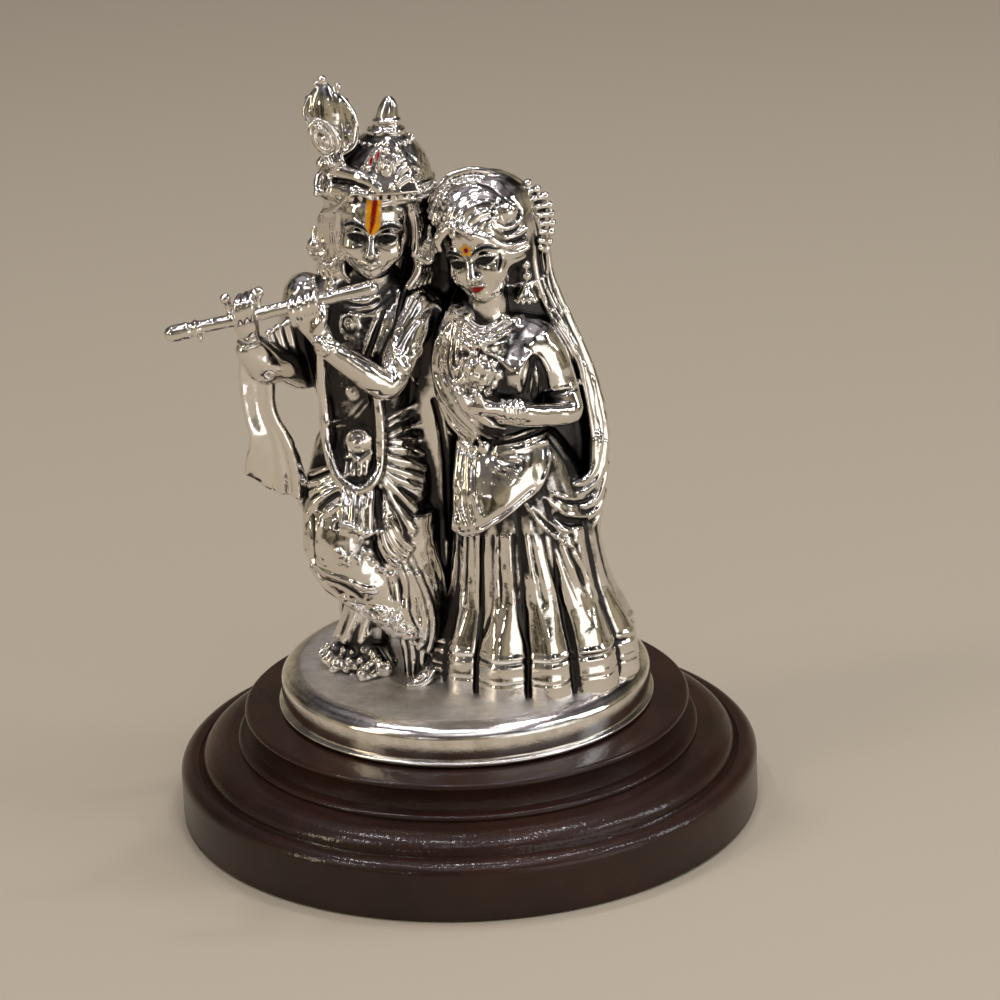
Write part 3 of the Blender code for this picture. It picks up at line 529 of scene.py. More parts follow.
def krishna_shawl(clay):
    """The long cloth behind his near arm, down to the ground, and its edge arched over the shoulder."""
    clay.stack([(-0.6, -5.6, -4.6, 3.0, 4.4), (10, -4.8, -4.2, 3.4, 4.8), (22, -4.2, -3.6, 3.8, 5.0),
                (34, -3.6, -3.4, 4.0, 5.0), (44, -3.8, -4.4, 4.4, 4.4), (54, -3.6, -5.0, 4.6, 4.2),
                (62, -4.0, -5.4, 4.0, 4.0), (66, -5.2, -5.6, 3.4, 3.2)], soft=0.8)
    clay.limb([(-2.6, -1.6, 60, 3.4), (-1.2, -1.4, 66, 3.4), (-0.6, -1.4, 70, 2.8)], soft=1.0)
    for shift in (0, 8, 16):
        clay.fold([(402 + shift, 330 - shift, 0.5), (412 + 0.9 * shift, 312 - 0.5 * shift, 0.6),
                   (430, 302 - 0.8 * shift, 0.6), (441 - 0.2 * shift, 310 - shift, 0.5)], start=-12)
    for route in ([(421, 570, 0.6), (434, 598, 0.7), (439, 626, 0.7), (434, 661, 0.7), (430, 678, 0.6)],
                  [(446, 542, 0.6), (445, 575, 0.6), (444, 609, 0.6), (439, 654, 0.5)],
                  [(428, 505, 0.5), (436, 540, 0.6), (440, 580, 0.6), (437, 604, 0.5)]):
        clay.fold(route, sink=0.0, start=-10, soft=0.3)
    for route in ([(427, 560, 0.45), (438, 592, 0.5), (442, 626, 0.5), (437, 672, 0.45)],
                  [(424, 590, 0.45), (430, 626, 0.5), (424, 664, 0.45)],
                  [(434, 400, 0.5), (444, 440, 0.5), (448, 500, 0.5), (450, 560, 0.4)],
                  [(440, 520, 0.35), (441, 560, 0.35), (440, 600, 0.35)]):
        clay.crease(route, start=-12)


def krishna_legs(clay):
    clay.stack([(4.2, -17.6, 0.2, 5.0, 4.8), (8, -16.6, -1.4, 4.3, 4.8),
                (14, -14.8, -3.8, 4.8, 5.4), (22, -13.8, -5.2, 7.2, 6.8), (30, -13.6, -5.8, 9.2, 8.0)],
               fold=lambda angle, z: 0.4 * np.cos(9 * angle) * np.clip((18 - z) / 10, 0, 1))
    clay.stack([(-0.6, -14.6, -2.6, 3.6, 3.4), (3, -15.4, -1.8, 3.2, 3.2), (8, -15.4, -2.0, 3.6, 3.8)], soft=0.8)
    clay.limb([(-18.2, -8, 34, 7.0), (-19.4, -11.4, 29.6, 6.6), (-19.4, -12.6, 25.4, 6.2),
               (-16.4, -13.2, 20.6, 5.4), (-13.0, -13.0, 15.8, 4.4), (-10.4, -12.4, 12.0, 3.6)], soft=1.0)
    # The standing foot with its toes and cluster of anklet beads
    clay.limb([(-16.8, -1.5, 4.0, 2.4), (-15.8, -4.2, 2.6, 2.5), (-13.8, -7.6, 1.3, 1.8)], soft=0.6)
    for k in range(5):
        size = 0.95 - 0.08 * k
        tip = at(362 + 6.4 * k, 679 - 1.6 * abs(k - 3), -10.4 + 0.5 * k)
        clay.limb([(-15.4 + 0.9 * k, -6.4, 1.9, size), (tip[0] - 0.2, tip[1] + 1.6, 1.1, size - 0.1),
                   (tip[0], tip[1], 0.6, size - 0.2)], soft=0.12)
    clay.limb(placed([(323, 652, -1.0, 0.8), (333, 662, -3.6, 1.2), (346, 667, -5.2, 1.5), (360, 665, -5.4, 1.7),
                      (372, 658, -4.6, 1.5)]), soft=0.8)
    clay.limb(placed([(338, 650, -1.0, 1.6), (350, 654, -2.6, 2.0), (364, 650, -3.0, 1.8)]), soft=0.8)
    clay.dabs([(328, 646, 0.7), (322, 652, 0.75), (330, 655, 0.7), (325, 659, 0.6), (336, 660, 0.75), (334, 668, 0.9),
               (341, 656, 0.6), (346, 669, 0.75), (345, 678, 0.65), (349, 660, 0.7), (355, 667, 0.6),
               (360, 660, 0.75), (361, 673, 0.9), (366, 666, 0.6), (372, 653, 0.75), (370, 663, 0.6),
               (353, 675, 0.65), (339, 674, 0.65), (377, 659, 0.55), (343, 649, 0.6), (352, 652, 0.6),
               (362, 650, 0.55)], start=-12, sink=-0.35)
    # The crossing foot, its ankle behind the hanging folds
    clay.limb(placed([(432, 666, -9.5, 1.7), (425, 677, -11.6, 1.3), (414, 684, -12.6, 0.9)]), soft=0.5)
    clay.limb(placed([(434, 671, -12.0, 0.55), (429, 680, -13.0, 0.6), (419, 686, -13.6, 0.6),
                      (409, 687, -13.6, 0.5)]), soft=0.12)
    clay.dabs([(409, 685, 0.5), (414, 681, 0.5), (420, 677, 0.5), (404, 687, 0.4)], start=-14)
    clay.stack([(-0.6, -7.6, -7.2, 2.6, 2.6), (5, -7.2, -7.6, 3.4, 3.6), (10, -7.4, -8.0, 4.2, 4.4),
                (14, -7.8, -8.0, 4.4, 4.8)], fold=lambda angle, z: 0.35 * np.cos(12 * angle), soft=0.5)


def krishna_dhoti(clay):
    """Folds that fan from the belt over both hips, the pleated flap, and the cascade beside the bent leg."""
    first = [(-14.6, -14.4, 34), (-12.6, -15.2, 27), (-9.4, -14.6, 18.5), (-7.4, -12.6, 9.5)]
    second = [(-7.0, -10.6, 28), (-4.6, -9.8, 21), (-3.4, -9.0, 14), (-3.8, -8.6, 6.5)]
    for t in np.arange(6) / 5:
        clay.limb(blend(first, second, t, 1.2), soft=0.5)
    clay.stack([(7, -6.4, -6.6, 2.6, 3.4), (12, -6.8, -7.2, 3.4, 4.6), (20, -8.2, -7.4, 4.6, 5.4),
                (30, -9.6, -7.2, 6.2, 6.2)])
    fans = [[(387, 421), (401, 414), (415, 406)], [(388, 437), (401, 430), (420, 424)],
            [(388, 442), (404, 441), (421, 440)], [(388, 447), (406, 449), (424, 455)],
            [(388, 456), (406, 462), (424, 468)], [(386, 467), (404, 472), (422, 478)],
            [(386, 472), (402, 481), (420, 488)], [(385, 477), (396, 491), (414, 508)],
            [(383, 480), (392, 498), (405, 517), (412, 530)], [(379, 483), (386, 500), (394, 518), (398, 532)]]
    for (u, v), *more in fans:
        clay.fold([(u, v, 0.35)] + [(a, b, 0.35 + 0.2 * (k + 1)) for k, (a, b) in enumerate(more)], 0.35, start=-16,
                  soft=0.3)
        clay.fold([(u + 1, v + 4, 0.25)] + [(a + 1, b + 5 + k, 0.26) for k, (a, b) in enumerate(more)], 0.0,
                  start=-16, soft=0.15)
    for a, b in zip(fans, fans[1:]):
        clay.crease([((p[0] + q[0]) / 2, (p[1] + q[1]) / 2, 0.2 + 0.04 * k) for k, (p, q) in enumerate(zip(a, b))],
                    start=-16, soft=0.2)
    for route in ([(330, 468), (322, 471), (310, 475)], [(334, 476), (324, 480), (311, 485)],
                  [(337, 482), (325, 487), (312, 494)]):
        clay.fold(even(route, 0.7), 0.1, start=-14, soft=0.15)
        clay.crease(even(route, 0.35, 0, 4.5), start=-14, soft=0.15)
    clay.fold([(341, 487, 0.4), (326, 495, 0.6), (313, 505, 0.7), (307, 514, 0.6)], -0.1, start=-16, soft=0.15)
    clay.crease([(339, 493, 0.4), (328, 500, 0.5), (319, 508, 0.5)], start=-18, soft=0.2)
    clay.fold([(342, 501, 0.45), (331, 511, 0.55), (321, 516, 0.6), (320, 525, 0.5)], -0.1, start=-18, soft=0.15)
    # The flap: broad pleats between narrow ones, hemmed in two tiers
    for u, radius in ((344, 0.75), (353, 0.95), (362, 0.8), (369, 0.95)):
        clay.fold([(u + 1, 490, radius - 0.15), (u - 1, 510, radius), (u - 1.5, 524 + 0.3 * (u - 344), radius)], -0.3,
                  start=-19, soft=0.2)
    for u, v0, v1 in ((348.5, 494, 523), (357.5, 494, 530), (364.5, 495, 531), (375.5, 490, 530), (339, 508, 528)):
        clay.crease([(u + 1, v0, 0.3), (u, (v0 + v1) / 2, 0.4), (u - 1 + 0.15 * (u - 350), v1, 0.45)], start=-20,
                    soft=0.15)
    clay.crease([(378, 492, 0.6), (380, 510, 0.9), (382, 527, 0.8)], start=-20)
    clay.fold([(340, 525, 0.4), (350, 526, 0.45), (356, 530, 0.45), (361, 535, 0.5), (367, 535, 0.5),
               (374, 532, 0.45)], -0.1, start=-20, soft=0.12)
    clay.dabs([(342, 530, 0.4), (347, 532, 0.45), (352, 534, 0.4), (357, 538, 0.45), (362, 541, 0.4),
               (367, 542, 0.45), (372, 541, 0.4)], start=-20)
    for k in range(4):
        clay.pearls([(343 + 9 * k, 497), (341 + 9 * k, 522 + 2 * k)], 0.2, 0.55, start=-20, soft=0.08)


def krishna_hem(clay):
    """The rolled edge of the cloth along the bent shin, its ragged gathered end and the folds beside it."""
    clay.crease([(312, 516, 0.45), (313, 536, 0.5), (314, 558, 0.4)])
    clay.fold([(320, 521, 0.4), (318, 542, 0.5), (319, 555, 0.5), (325, 564, 0.4)], 0.0, soft=0.2)
    clay.fold([(308, 514, 0.45), (306, 532, 0.5), (306, 550, 0.45)], 0.2, soft=0.2)
    clay.fold([(307, 551, 0.45), (313, 562, 0.55), (324, 571, 0.6), (337, 577, 0.6), (351, 582, 0.6), (362, 588, 0.6),
               (374, 589, 0.5)], 0.0, soft=0.25)
    clay.crease([(309, 561, 0.3), (322, 578, 0.4), (338, 584, 0.45), (352, 591, 0.45), (362, 598, 0.4)])
    clay.fold([(311, 567, 0.5), (325, 585, 0.7), (340, 596, 0.75), (352, 602, 0.7), (360, 605, 0.6)], 0.3, soft=0.25)
    clay.fold([(360, 605, 0.5), (372, 606, 0.5), (384, 609, 0.5), (396, 614, 0.5), (408, 624, 0.45)], 0.1, soft=0.3)
    clay.fold([(343, 599, 0.6), (355, 606, 0.9), (367, 612, 1.1), (380, 618, 1.2), (391, 620, 1.1), (400, 625, 1.0),
               (412, 636, 0.9)], 0.4, soft=0.5)
    clay.dabs([(346, 598, 0.6), (353, 604, 0.5), (360, 609, 0.7), (366, 613, 0.5), (372, 616, 0.7), (376, 609, 0.5),
               (383, 612, 0.9), (386, 622, 0.8), (379, 620, 0.6), (396, 622, 0.75), (391, 614, 0.6), (403, 629, 0.75),
               (400, 619, 0.5), (410, 635, 0.7), (414, 642, 0.55), (405, 637, 0.55), (396, 630, 0.5)], soft=0.12,
              sink=-0.35)
    for route in ([(381, 571), (384, 580), (386, 592), (389, 604)], [(390, 566), (394, 577), (396, 590), (397, 606)],
                  [(399, 566), (405, 581), (406, 595), (405, 610), (410, 622), (416, 634)],
                  [(410, 572), (418, 590), (423, 608), (426, 625), (424, 640), (419, 648)],
                  [(418, 574), (427, 596), (432, 614), (433, 634), (428, 652)]):
        clay.fold(even(route, 0.55), 0.0, start=-17, soft=0.2)
        clay.crease(even(route, 0.32, 4.5), start=-17, soft=0.15)
    for route in ([(382, 532), (384, 541), (388, 550), (396, 557), (406, 560)],
                  [(388, 526), (393, 537), (399, 547), (408, 554)], [(391, 519), (398, 534), (405, 543), (412, 548)],
                  [(379, 540), (382, 552), (390, 562), (400, 566)]):
        clay.fold(even(route, 0.5), -0.1, start=-18, soft=0.2)
        clay.crease(even(route, 0.28, -3.5, 2.5), start=-18, soft=0.15)
    rng = np.random.default_rng(11)
    spots = [(337 + 58 * t + rng.normal(0, 1.5), 551 + 20 * t + 5 * sin(9 * t) + rng.normal(0, 3.6),
              0.38 + 0.28 * rng.random()) for t in np.linspace(0, 1, 34)]
    clay.dabs(spots, soft=0.1, sink=-0.15)


def krishna_arms(clay):
    clay.limb([(-5.8, -7.2, 64.6, 3.5), (-6.6, -9.6, 62, 3.3), (-8.6, -13, 57.6, 2.9), (-10.6, -15.6, 54.2, 2.6),
               (-12.4, -16.8, 55.0, 2.5), (-14.6, -17.7, 57.0, 2.3), (-19.9, -18.6, 61.4, 1.7)], soft=0.7, spans=6)
    clay.limb([(-20.2, -18.6, 61.6, 1.6), (-21.6, -18.2, 64.4, 2.1), (-23.6, -17.6, 67.0, 2.2)], soft=0.6,
              flat=(0.5, 1, 0), depth=0.8)
    for k in range(4):
        clay.limb([(-24.9 + 1.2 * k, -19.0, 65.8 + 0.5 * k, 0.62), (-25.3 + 1.25 * k, -19.9, 67.8 + 0.4 * k, 0.66),
                   (-25.4 + 1.25 * k, -19.4, 69.3 + 0.35 * k, 0.66), (-25.2 + 1.25 * k, -17.6, 70.0 + 0.35 * k, 0.6)],
                  soft=0.2)
    clay.limb([(-22.0, -19.2, 64.2, 0.9), (-20.6, -19.4, 66.4, 0.8), (-20.4, -18.4, 68.4, 0.7)], soft=0.4)
    for way in (0.0, 0.9):
        ring = [(-20.5 - 0.3 * way + 1.95 * cos(a) * 0.75, -18.6 + 1.95 * sin(a),
                 61.9 + 0.9 * way - 1.95 * cos(a) * 0.62) for a in np.arange(12) * pi / 6]
        for point in ring:
            clay.ball(point, 0.55, soft=0.12)
    clay.ridge([(-9.6, 60.2, 0.4), (-9.0, 57.4, 0.5), (-7.4, 55.2, 0.5), (-5.8, 53.4, 0.4)], 0.0, 0.15)
    clay.ridge([(-10.2, 60.4, 0.25), (-9.7, 57.3, 0.3), (-8.0, 54.8, 0.3), (-6.2, 53.0, 0.25)], -0.1, 0.3, cut=True)
    # The far arm, its hand behind the flute and its loose sleeve
    clay.limb([(-23.4, -4.4, 66.2, 4.0), (-24.8, -4.2, 61, 3.7), (-24.6, -3.8, 54, 3.3), (-26.6, -7.2, 54.6, 2.7),
               (-30.0, -11.2, 58.2, 2.3), (-32.6, -14.6, 62.6, 1.7)], soft=0.8, spans=6)
    clay.limb([(-32.6, -14.8, 62.8, 1.7), (-33.0, -16, 65.2, 2.1), (-33.2, -16.4, 67.2, 1.9)], soft=0.4,
              flat=(0, 1, 0), depth=0.75)
    for k in range(3):
        clay.limb([(-34.0 + 1.1 * k, -18.3, 66.0 + 0.3 * k, 0.6), (-34.0 + 1.1 * k, -19.3, 67.8 + 0.3 * k, 0.6),
                   (-34.0 + 1.1 * k, -18.8, 69.4 + 0.3 * k, 0.62), (-33.6 + 1.1 * k, -16.8, 70.2 + 0.3 * k, 0.6)],
                  soft=0.15)
    for tip, knuckle in (((-35.9, -17.0, 69.9), (-35.0, -16.6, 66.8)), ((-30.5, -17.0, 70.8), (-31.2, -16.4, 67.4))):
        clay.limb([(*knuckle, 0.7), (*tip, 0.6)], soft=0.2)
        clay.ball(tip, 0.95, soft=0.1)
    clay.limb([(-34.4, -15.6, 62.2, 0.5), (-33, -17, 61.6, 0.55), (-31.0, -15.8, 61.9, 0.5)], soft=0.15)
    for k in range(4):
        t = k / 3
        clay.limb([(-29.6 + 4.4 * t, -9.6 + 2.2 * t, 61.6 + 1.6 * t, 0.9),
                   (-28.6 + 4.0 * t, -9.2 + 2.2 * t, 58.0, 1.1),
                   (-26.6 + 3.0 * t, -7.2 + 1.6 * t, 54.0 - 0.8 * t, 1.2)], soft=0.35)
    for k in range(3):
        clay.limb([(-34.2 + 0.6 * k, -13.0, 60.6 - 1.4 * k, 0.8),
                   (-32.2 + 0.5 * k, -14.0 + 0.5 * k, 57.8 - 1.2 * k, 1.0),
                   (-29.6 + 0.4 * k, -11.6 + 0.5 * k, 57.2 - 1.3 * k, 0.9)], soft=0.35)
    clay.limb([(-33.2, -14.0, 60.2, 1.9), (-31.0, -12.0, 57.6, 2.6), (-28.6, -9.4, 56.2, 2.7),
               (-26.2, -6.8, 55.8, 2.6)], soft=0.5)


def flute(clay):
    left, mouth = np.array((-44.6, -19.0, 65.0)), np.array((-12.6, -15.4, 70.2))
    way = (mouth - left) / np.linalg.norm(mouth - left)

    def along(share):
        return left + (mouth - left) * share

    clay.limb([(*left, 1.15), (*along(0.5), 1.1), (*along(0.85), 1.15), (*mouth, 1.35)], soft=0.2)
    clay.limb([(*along(0.0), 1.35), (*along(0.045), 1.4)], soft=0.1)
    for share, radius in ((0.075, 1.5), (0.12, 1.55)):
        spot = along(share)
        clay.limb([(*(spot - way * 0.1), radius), (*(spot + way * 0.1), radius)], soft=0.1, flat=way, depth=0.35)
    clay.ball(along(0.14) + (0, -0.4, -1.7), (0.55, 0.55, 0.75), soft=0.1)
    for share in (0.2, 0.48, 0.54, 0.6, 0.78):
        clay.ball(along(share) + (0, -0.5, 1.0), (0.5, 0.35, 0.35), soft=0.1, cut=True)


def scarf(clay):
    """A smooth broad sheet and a folded dark strand beside it."""
    left = placed([(241, 352, -13.4), (239, 378, -13.4), (243, 410, -13.4), (250, 440, -13.2), (246, 462, -12.8),
                   (245, 477, -12.4)])
    right = placed([(272, 352, -10.6), (274, 385, -10.8), (277, 410, -10.8), (293, 440, -10.6), (304, 470, -10.2),
                    (308, 503, -9.8)])
    rows = []
    upper, under = through(left, 5), through(right, 5)
    for i, (a, b) in enumerate(zip(upper, under)):
        t = i / (len(upper) - 1)
        row = []
        for j in range(29):
            s = j / 28
            folds = ((0.84, 0.07, 0.75), (0.72, 0.045, -0.9), (0.6, 0.06, 0.35), (0.48, 0.035, -0.5 * t))
            lift = 0.3 * cos(s * 2.2 * pi)
            for middle, width, high in folds:
                lift += high * np.exp(-((s - middle) / width) ** 2)
            row.append(a + (b - a) * s + (0, -lift, 0.5 * cos(s * 7.0) * t ** 2))
        rows.append(row)
    clay.cloth(rows, 1.0, 0.3)
    clay.limb(placed([(300, 488, -10.2, 0.7), (302, 500, -10.2, 0.8), (306, 508, -11.0, 0.7)]), soft=0.4)
    clay.crease([(243, 465, 0.25), (250, 476, 0.3), (262, 484, 0.3)], start=-18, soft=0.2)


def krishna_jewels(clay):
    loop = [(331, 283), (324, 305), (321, 330), (320, 358), (321, 385), (323.5, 405), (325, 430), (329, 455),
            (335, 474), (346, 486), (358.6, 491), (371, 485), (379, 473), (381.5, 456), (381, 424), (378, 398)]
    depths = (-15, -14.4, -13.4, -12.4, -12.0, -11.8, -12.0, -13.2, -14.4, -15.0, -15.4, -15.0, -14.2, -13.4, -12.9,
              -12.6)
    strand = [(*at(u, v, y), 0.62) for (u, v), y in zip(loop, depths)]
    clay.limb([(x + 0.75 * (1 if x < -16 else -1), y + 0.5, z, 0.85) for x, y, z, _ in strand[2:]], soft=0.15,
              cut=True)
    clay.limb([(x, y + 0.9, z, 0.9) for x, y, z, _ in strand], soft=0.3)
    clay.limb(strand, soft=0.1)
    clay.beads([(x + 0.6 * (1 if x < -16 else -1), y - 0.1, z + (0.5 if z < 38 else 0)) for x, y, z, _ in strand],
               0.4, 0.85, soft=0.06)
    centre = clay.spot(357.4, 442.4, -16)
    clay.ball(centre, (1.95, 0.9, 2.05), soft=0.15)
    for k in range(18):
        a = k * pi / 9
        clay.ball(centre + (1.95 * cos(a), -0.2, 2.1 * sin(a)), 0.42, soft=0.1)
    clay.hoop(centre, 1.2, 1.2, 0.24, 0.8)
    clay.ball(centre + (0, -0.75, 0.1), (0.85, 0.7, 0.85), soft=0.1)
    clay.fold([(341, 460, 0.3), (347, 457, 0.35), (352, 455, 0.35), (358, 460, 0.4), (364, 458, 0.35),
               (371, 453, 0.35)], -0.2, start=-16, soft=0.12)
    for u in (347, 353, 360, 366):
        clay.fold([(u, 462, 0.4), (u, 474, 0.55)], 0.0, start=-16, soft=0.15)
        clay.crease([(u + 3, 463, 0.2), (u + 3, 474, 0.25)], start=-16, soft=0.1)
    for route in ([(328, 424), (336, 420), (345, 421), (353, 413), (360, 405), (367, 398)],
                  [(332, 430), (339, 425), (347, 424), (356, 416), (363, 408), (369, 401)]):
        clay.fold(even(route, 0.3), -0.3, start=-15, soft=0.12)
    clay.crease([(329, 427, 0.25), (338, 422.5, 0.25), (346, 422.5, 0.25), (354, 414.5, 0.25), (367, 400, 0.25)],
                start=-15)
    for route in ([(388, 419), (401, 412), (416, 404)], [(388, 427), (402, 420), (418, 414)]):
        clay.fold(even(route, 0.35), -0.2, start=-14, soft=0.12)
    # Straps from the shoulder, the bib of chains under the chin and the pendant
    for route, radius in (([(378, 314), (370, 334), (365, 353)], 0.4), ([(388, 311), (381, 331), (373, 355)], 0.45),
                          ([(394, 305), (388, 326), (379, 350)], 0.5),
                          ([(399, 291), (395, 312), (388, 334), (380, 352)], 0.45),
                          ([(409, 297), (404, 310), (398, 326), (393, 338)], 0.4),
                          ([(416, 300), (409, 314), (400, 330)], 0.4)):
        clay.fold(even(route, radius), -0.2, start=-13, soft=0.12)
    clay.crease([(384, 313, 0.3), (376, 333, 0.35), (368, 355, 0.3)], start=-14)
    clay.crease([(403, 296, 0.35), (398, 318, 0.4), (391, 336, 0.35)], start=-14)
    clay.pearls([(396, 293), (391, 312), (384, 332), (377, 352)], 0.3, 0.7, start=-14)
    for route in ([(338, 303), (350, 308), (366, 309), (380, 303), (389, 292)],
                  [(343, 309), (354, 314), (368, 315), (382, 309), (393, 297)], [(361, 319), (370, 316), (379, 313)],
                  [(336, 297), (350, 301), (366, 302), (378, 296)]):
        clay.fold(even(route, 0.36), -0.1, start=-12.5, soft=0.12)
        clay.crease(even(route, 0.22, 0, 3), start=-13, soft=0.1)
    centre = clay.spot(349.5, 324, -13)
    clay.hoop(centre, 1.6, 1.7, 0.36, 0.1)
    clay.ball(centre, (1.2, 0.3, 1.3), soft=0.1)
    for k in range(6):
        a = k * pi / 3
        clay.ball(centre + (0.75 * cos(a), -0.3, 0.75 * sin(a)), 0.34, soft=0.06)
    clay.ball(centre + (0, -0.45, 0), 0.42, soft=0.08)
    clay.dabs([(341, 331, 0.4), (346, 337, 0.4), (352, 338, 0.4), (357, 334, 0.4), (341, 316, 0.45), (344, 345, 0.35),
               (337, 344, 0.4)], start=-14)
    centre = clay.spot(353, 393, -14)
    clay.ball(centre, (0.55, 0.5, 0.55), soft=0.1)
    clay.hoop(centre, 0.95, 0.95, 0.24, 0.1)
    # Bracelet on the near wrist and armlet above the elbow
    clay.dabs([(316, 344, 0.45), (321, 341, 0.45), (326, 339, 0.45), (331, 338, 0.45), (318, 352, 0.5),
               (323, 354, 0.45), (328, 352, 0.45), (333, 348, 0.5), (337, 343, 0.45), (322, 347, 0.4),
               (328, 345, 0.4), (315, 349, 0.4)], start=-24)
    clay.fold([(393, 350, 0.3), (400, 354, 0.3), (405, 358, 0.3), (407, 364, 0.3), (409, 370, 0.25)], -0.2, start=-24,
              soft=0.1)
    clay.dabs([(408.5, 366, 0.6), (414, 354, 0.5), (419, 348, 0.5)], start=-24)
    clay.fold([(413, 357, 0.3), (420, 355, 0.4), (422, 346, 0.35), (415, 343, 0.25)], -0.1, start=-24, soft=0.1)
    clay.crease([(430, 310, 0.3), (415, 322, 0.3), (403, 340, 0.3), (397, 352, 0.3)], start=-24, soft=0.2)


def krishna_clay():
    clay = Clay((-48, -24, -0.8), (4, 8, 74), BODY_CELL)
    for form in (krishna_trunk, krishna_shawl, krishna_legs, krishna_dhoti, krishna_hem, krishna_arms, scarf, flute,
                 krishna_jewels):
        form(clay)
    return clay


# The faces, in a frame of their own: x across, y back and z up from between the eyes, in mm at full size
class Face:
    def __init__(self, clay, place, tilt, size):
        self.clay, self.place, self.turn, self.size = clay, np.array(place, float), turn_matrix(tilt), size
        self.tilt = tilt

    def out(self, point):
        return self.place + self.size * (self.turn @ np.array(point, float))

    def inward(self, spots):
        return (spots - self.place) @ self.turn / self.size

    def bar(self, stations, soft=0.5, cut=False, flat=None, depth=1.0):
        way = None if flat is None else self.turn @ np.array(flat, float)
        self.clay.limb([(*self.out(s[:3]), s[3] * self.size) for s in stations], soft * self.size, cut=cut,
                       flat=way, depth=depth)

    def lump(self, centre, radii, soft=0.5, cut=False):
        self.clay.ball(self.out(centre), np.array(radii, float) * self.size, self.tilt, soft * self.size, cut)

    def model(self):
        self.lump((0, 0.8, 2.9), (6.0, 6.6, 6.4))
        self.lump((0, -1.2, -0.4), (5.5, 5.0, 6.0), 1.2)
        self.lump((0, -2.4, -4.3), (4.0, 3.6, 2.9), 1.4)
        self.lump((0, -5.0, -6.1), (1.5, 1.2, 1.15), 1.0)
        self.lump((0, -2.5, 3.4), (4.9, 3.7, 3.4), 1.2)
        for side in (-1, 1):
            self.lump((2.9 * side, -3.9, -2.5), (2.0, 1.85, 1.9), 1.4)
            self.lump((2.45 * side, -6.7, -0.1), (1.8, 1.25, 1.05), 1.0, cut=True)
            self.bar([(0.75 * side, -6.1, 1.1, 0.34), (2.4 * side, -6.15, 2.1, 0.4), (4.3 * side, -4.7, 1.5, 0.3)],
                     0.8)
        self.bar([(0, -5.9, 1.6, 0.6), (0, -6.5, 0.0, 0.6), (0, -7.3, -1.6, 0.72), (0, -7.6, -2.4, 0.85)], 0.7)
        for side in (-1, 1):
            self.lump((0.85 * side, -6.6, -2.75), (0.62, 0.7, 0.52), 0.3)
            self.lump((0.42 * side, -7.5, -3.2), (0.24, 0.3, 0.22), 0.15, cut=True)
            self.lump((2.4 * side, -5.05, -0.05), (1.5, 1.0, 0.85), 0.15)
            self.bar([(0.85 * side, -5.7, -0.35, 0.16), (1.6 * side, -6.1, 0.5, 0.24), (2.6 * side, -6.15, 0.8, 0.26),
                      (3.6 * side, -5.5, 0.5, 0.24), (4.2 * side, -4.7, 0.15, 0.16)], 0.12)
            self.bar([(1.1 * side, -5.7, -0.55, 0.12), (2.4 * side, -6.1, -1.0, 0.19),
                      (3.7 * side, -5.2, -0.45, 0.12)], 0.15)
        self.bar([(-1.55, -5.9, -4.5, 0.18), (-0.6, -6.5, -4.15, 0.36), (0, -6.6, -4.25, 0.32),
                  (0.6, -6.5, -4.15, 0.36), (1.55, -5.9, -4.5, 0.18)], 0.2)
        self.bar([(-1.15, -5.95, -4.8, 0.2), (0, -6.45, -5.0, 0.46), (1.15, -5.95, -4.8, 0.2)], 0.25)
        self.bar([(-1.6, -6.2, -4.6, 0.1), (0, -6.95, -4.6, 0.12), (1.6, -6.2, -4.6, 0.1)], 0.12, cut=True)


def line_distance(p, q, route):
    """How far points (p, q) are from the smooth line through (p, q, half width), less its half width."""
    best = np.full(p.shape, FAR)
    line = through(route, 6)
    for a, b in zip(line, line[1:]):
        v = b[:2] - a[:2]
        t = np.clip(((p - a[0]) * v[0] + (q - a[1]) * v[1]) / (v @ v), 0, 1)
        d = np.hypot(p - a[0] - t * v[0], q - a[1] - t * v[1]) - (a[2] + t * (b[2] - a[2]))
        best = np.minimum(best, d)
    return best


def lens_distance(p, q, half_long, half_high):
    """How far points (p, q) are from a pointed oval about the origin."""
    radius = (half_long ** 2 + half_high ** 2) / (2 * half_high)
    rise = radius - half_high
    return np.maximum(np.hypot(p, q - rise), np.hypot(p, q + rise)) - radius


def brush(colours, distance, colour, edge=0.14):
    """Paints a colour where the distance is below 0, its edge softened over so many mm."""
    cover = np.clip(0.5 - distance / edge, 0, 1)[:, None]
    colours[:, :3] = colours[:, :3] * (1 - cover) + np.array(colour) * cover
    colours[:, 3:] = np.maximum(colours[:, 3:], cover)


BLACK_PAINT = (0.006, 0.006, 0.008)
YELLOW_PAINT = (0.72, 0.33, 0.01)
RED_PAINT = (0.26, 0.006, 0.004)


def painted_face(face, spots, colours):
    """Black brows and eyes, with a pale lower edge to each eye."""
    x, y, z = face.inward(spots).T
    behind = np.maximum(y + 3.4, 0) * 4
    for side in (-1, 1):
        brow = [(0.7 * side, 1.15, 0.14), (1.8 * side, 2.0, 0.34), (3.4 * side, 2.15, 0.34), (5.0 * side, 1.0, 0.14)]
        brush(colours, line_distance(x, z, brow) + behind, BLACK_PAINT)
        brush(colours, lens_distance(x - 2.45 * side, z + 0.05, 1.75, 0.9) + behind, BLACK_PAINT)
    return x, z, behind


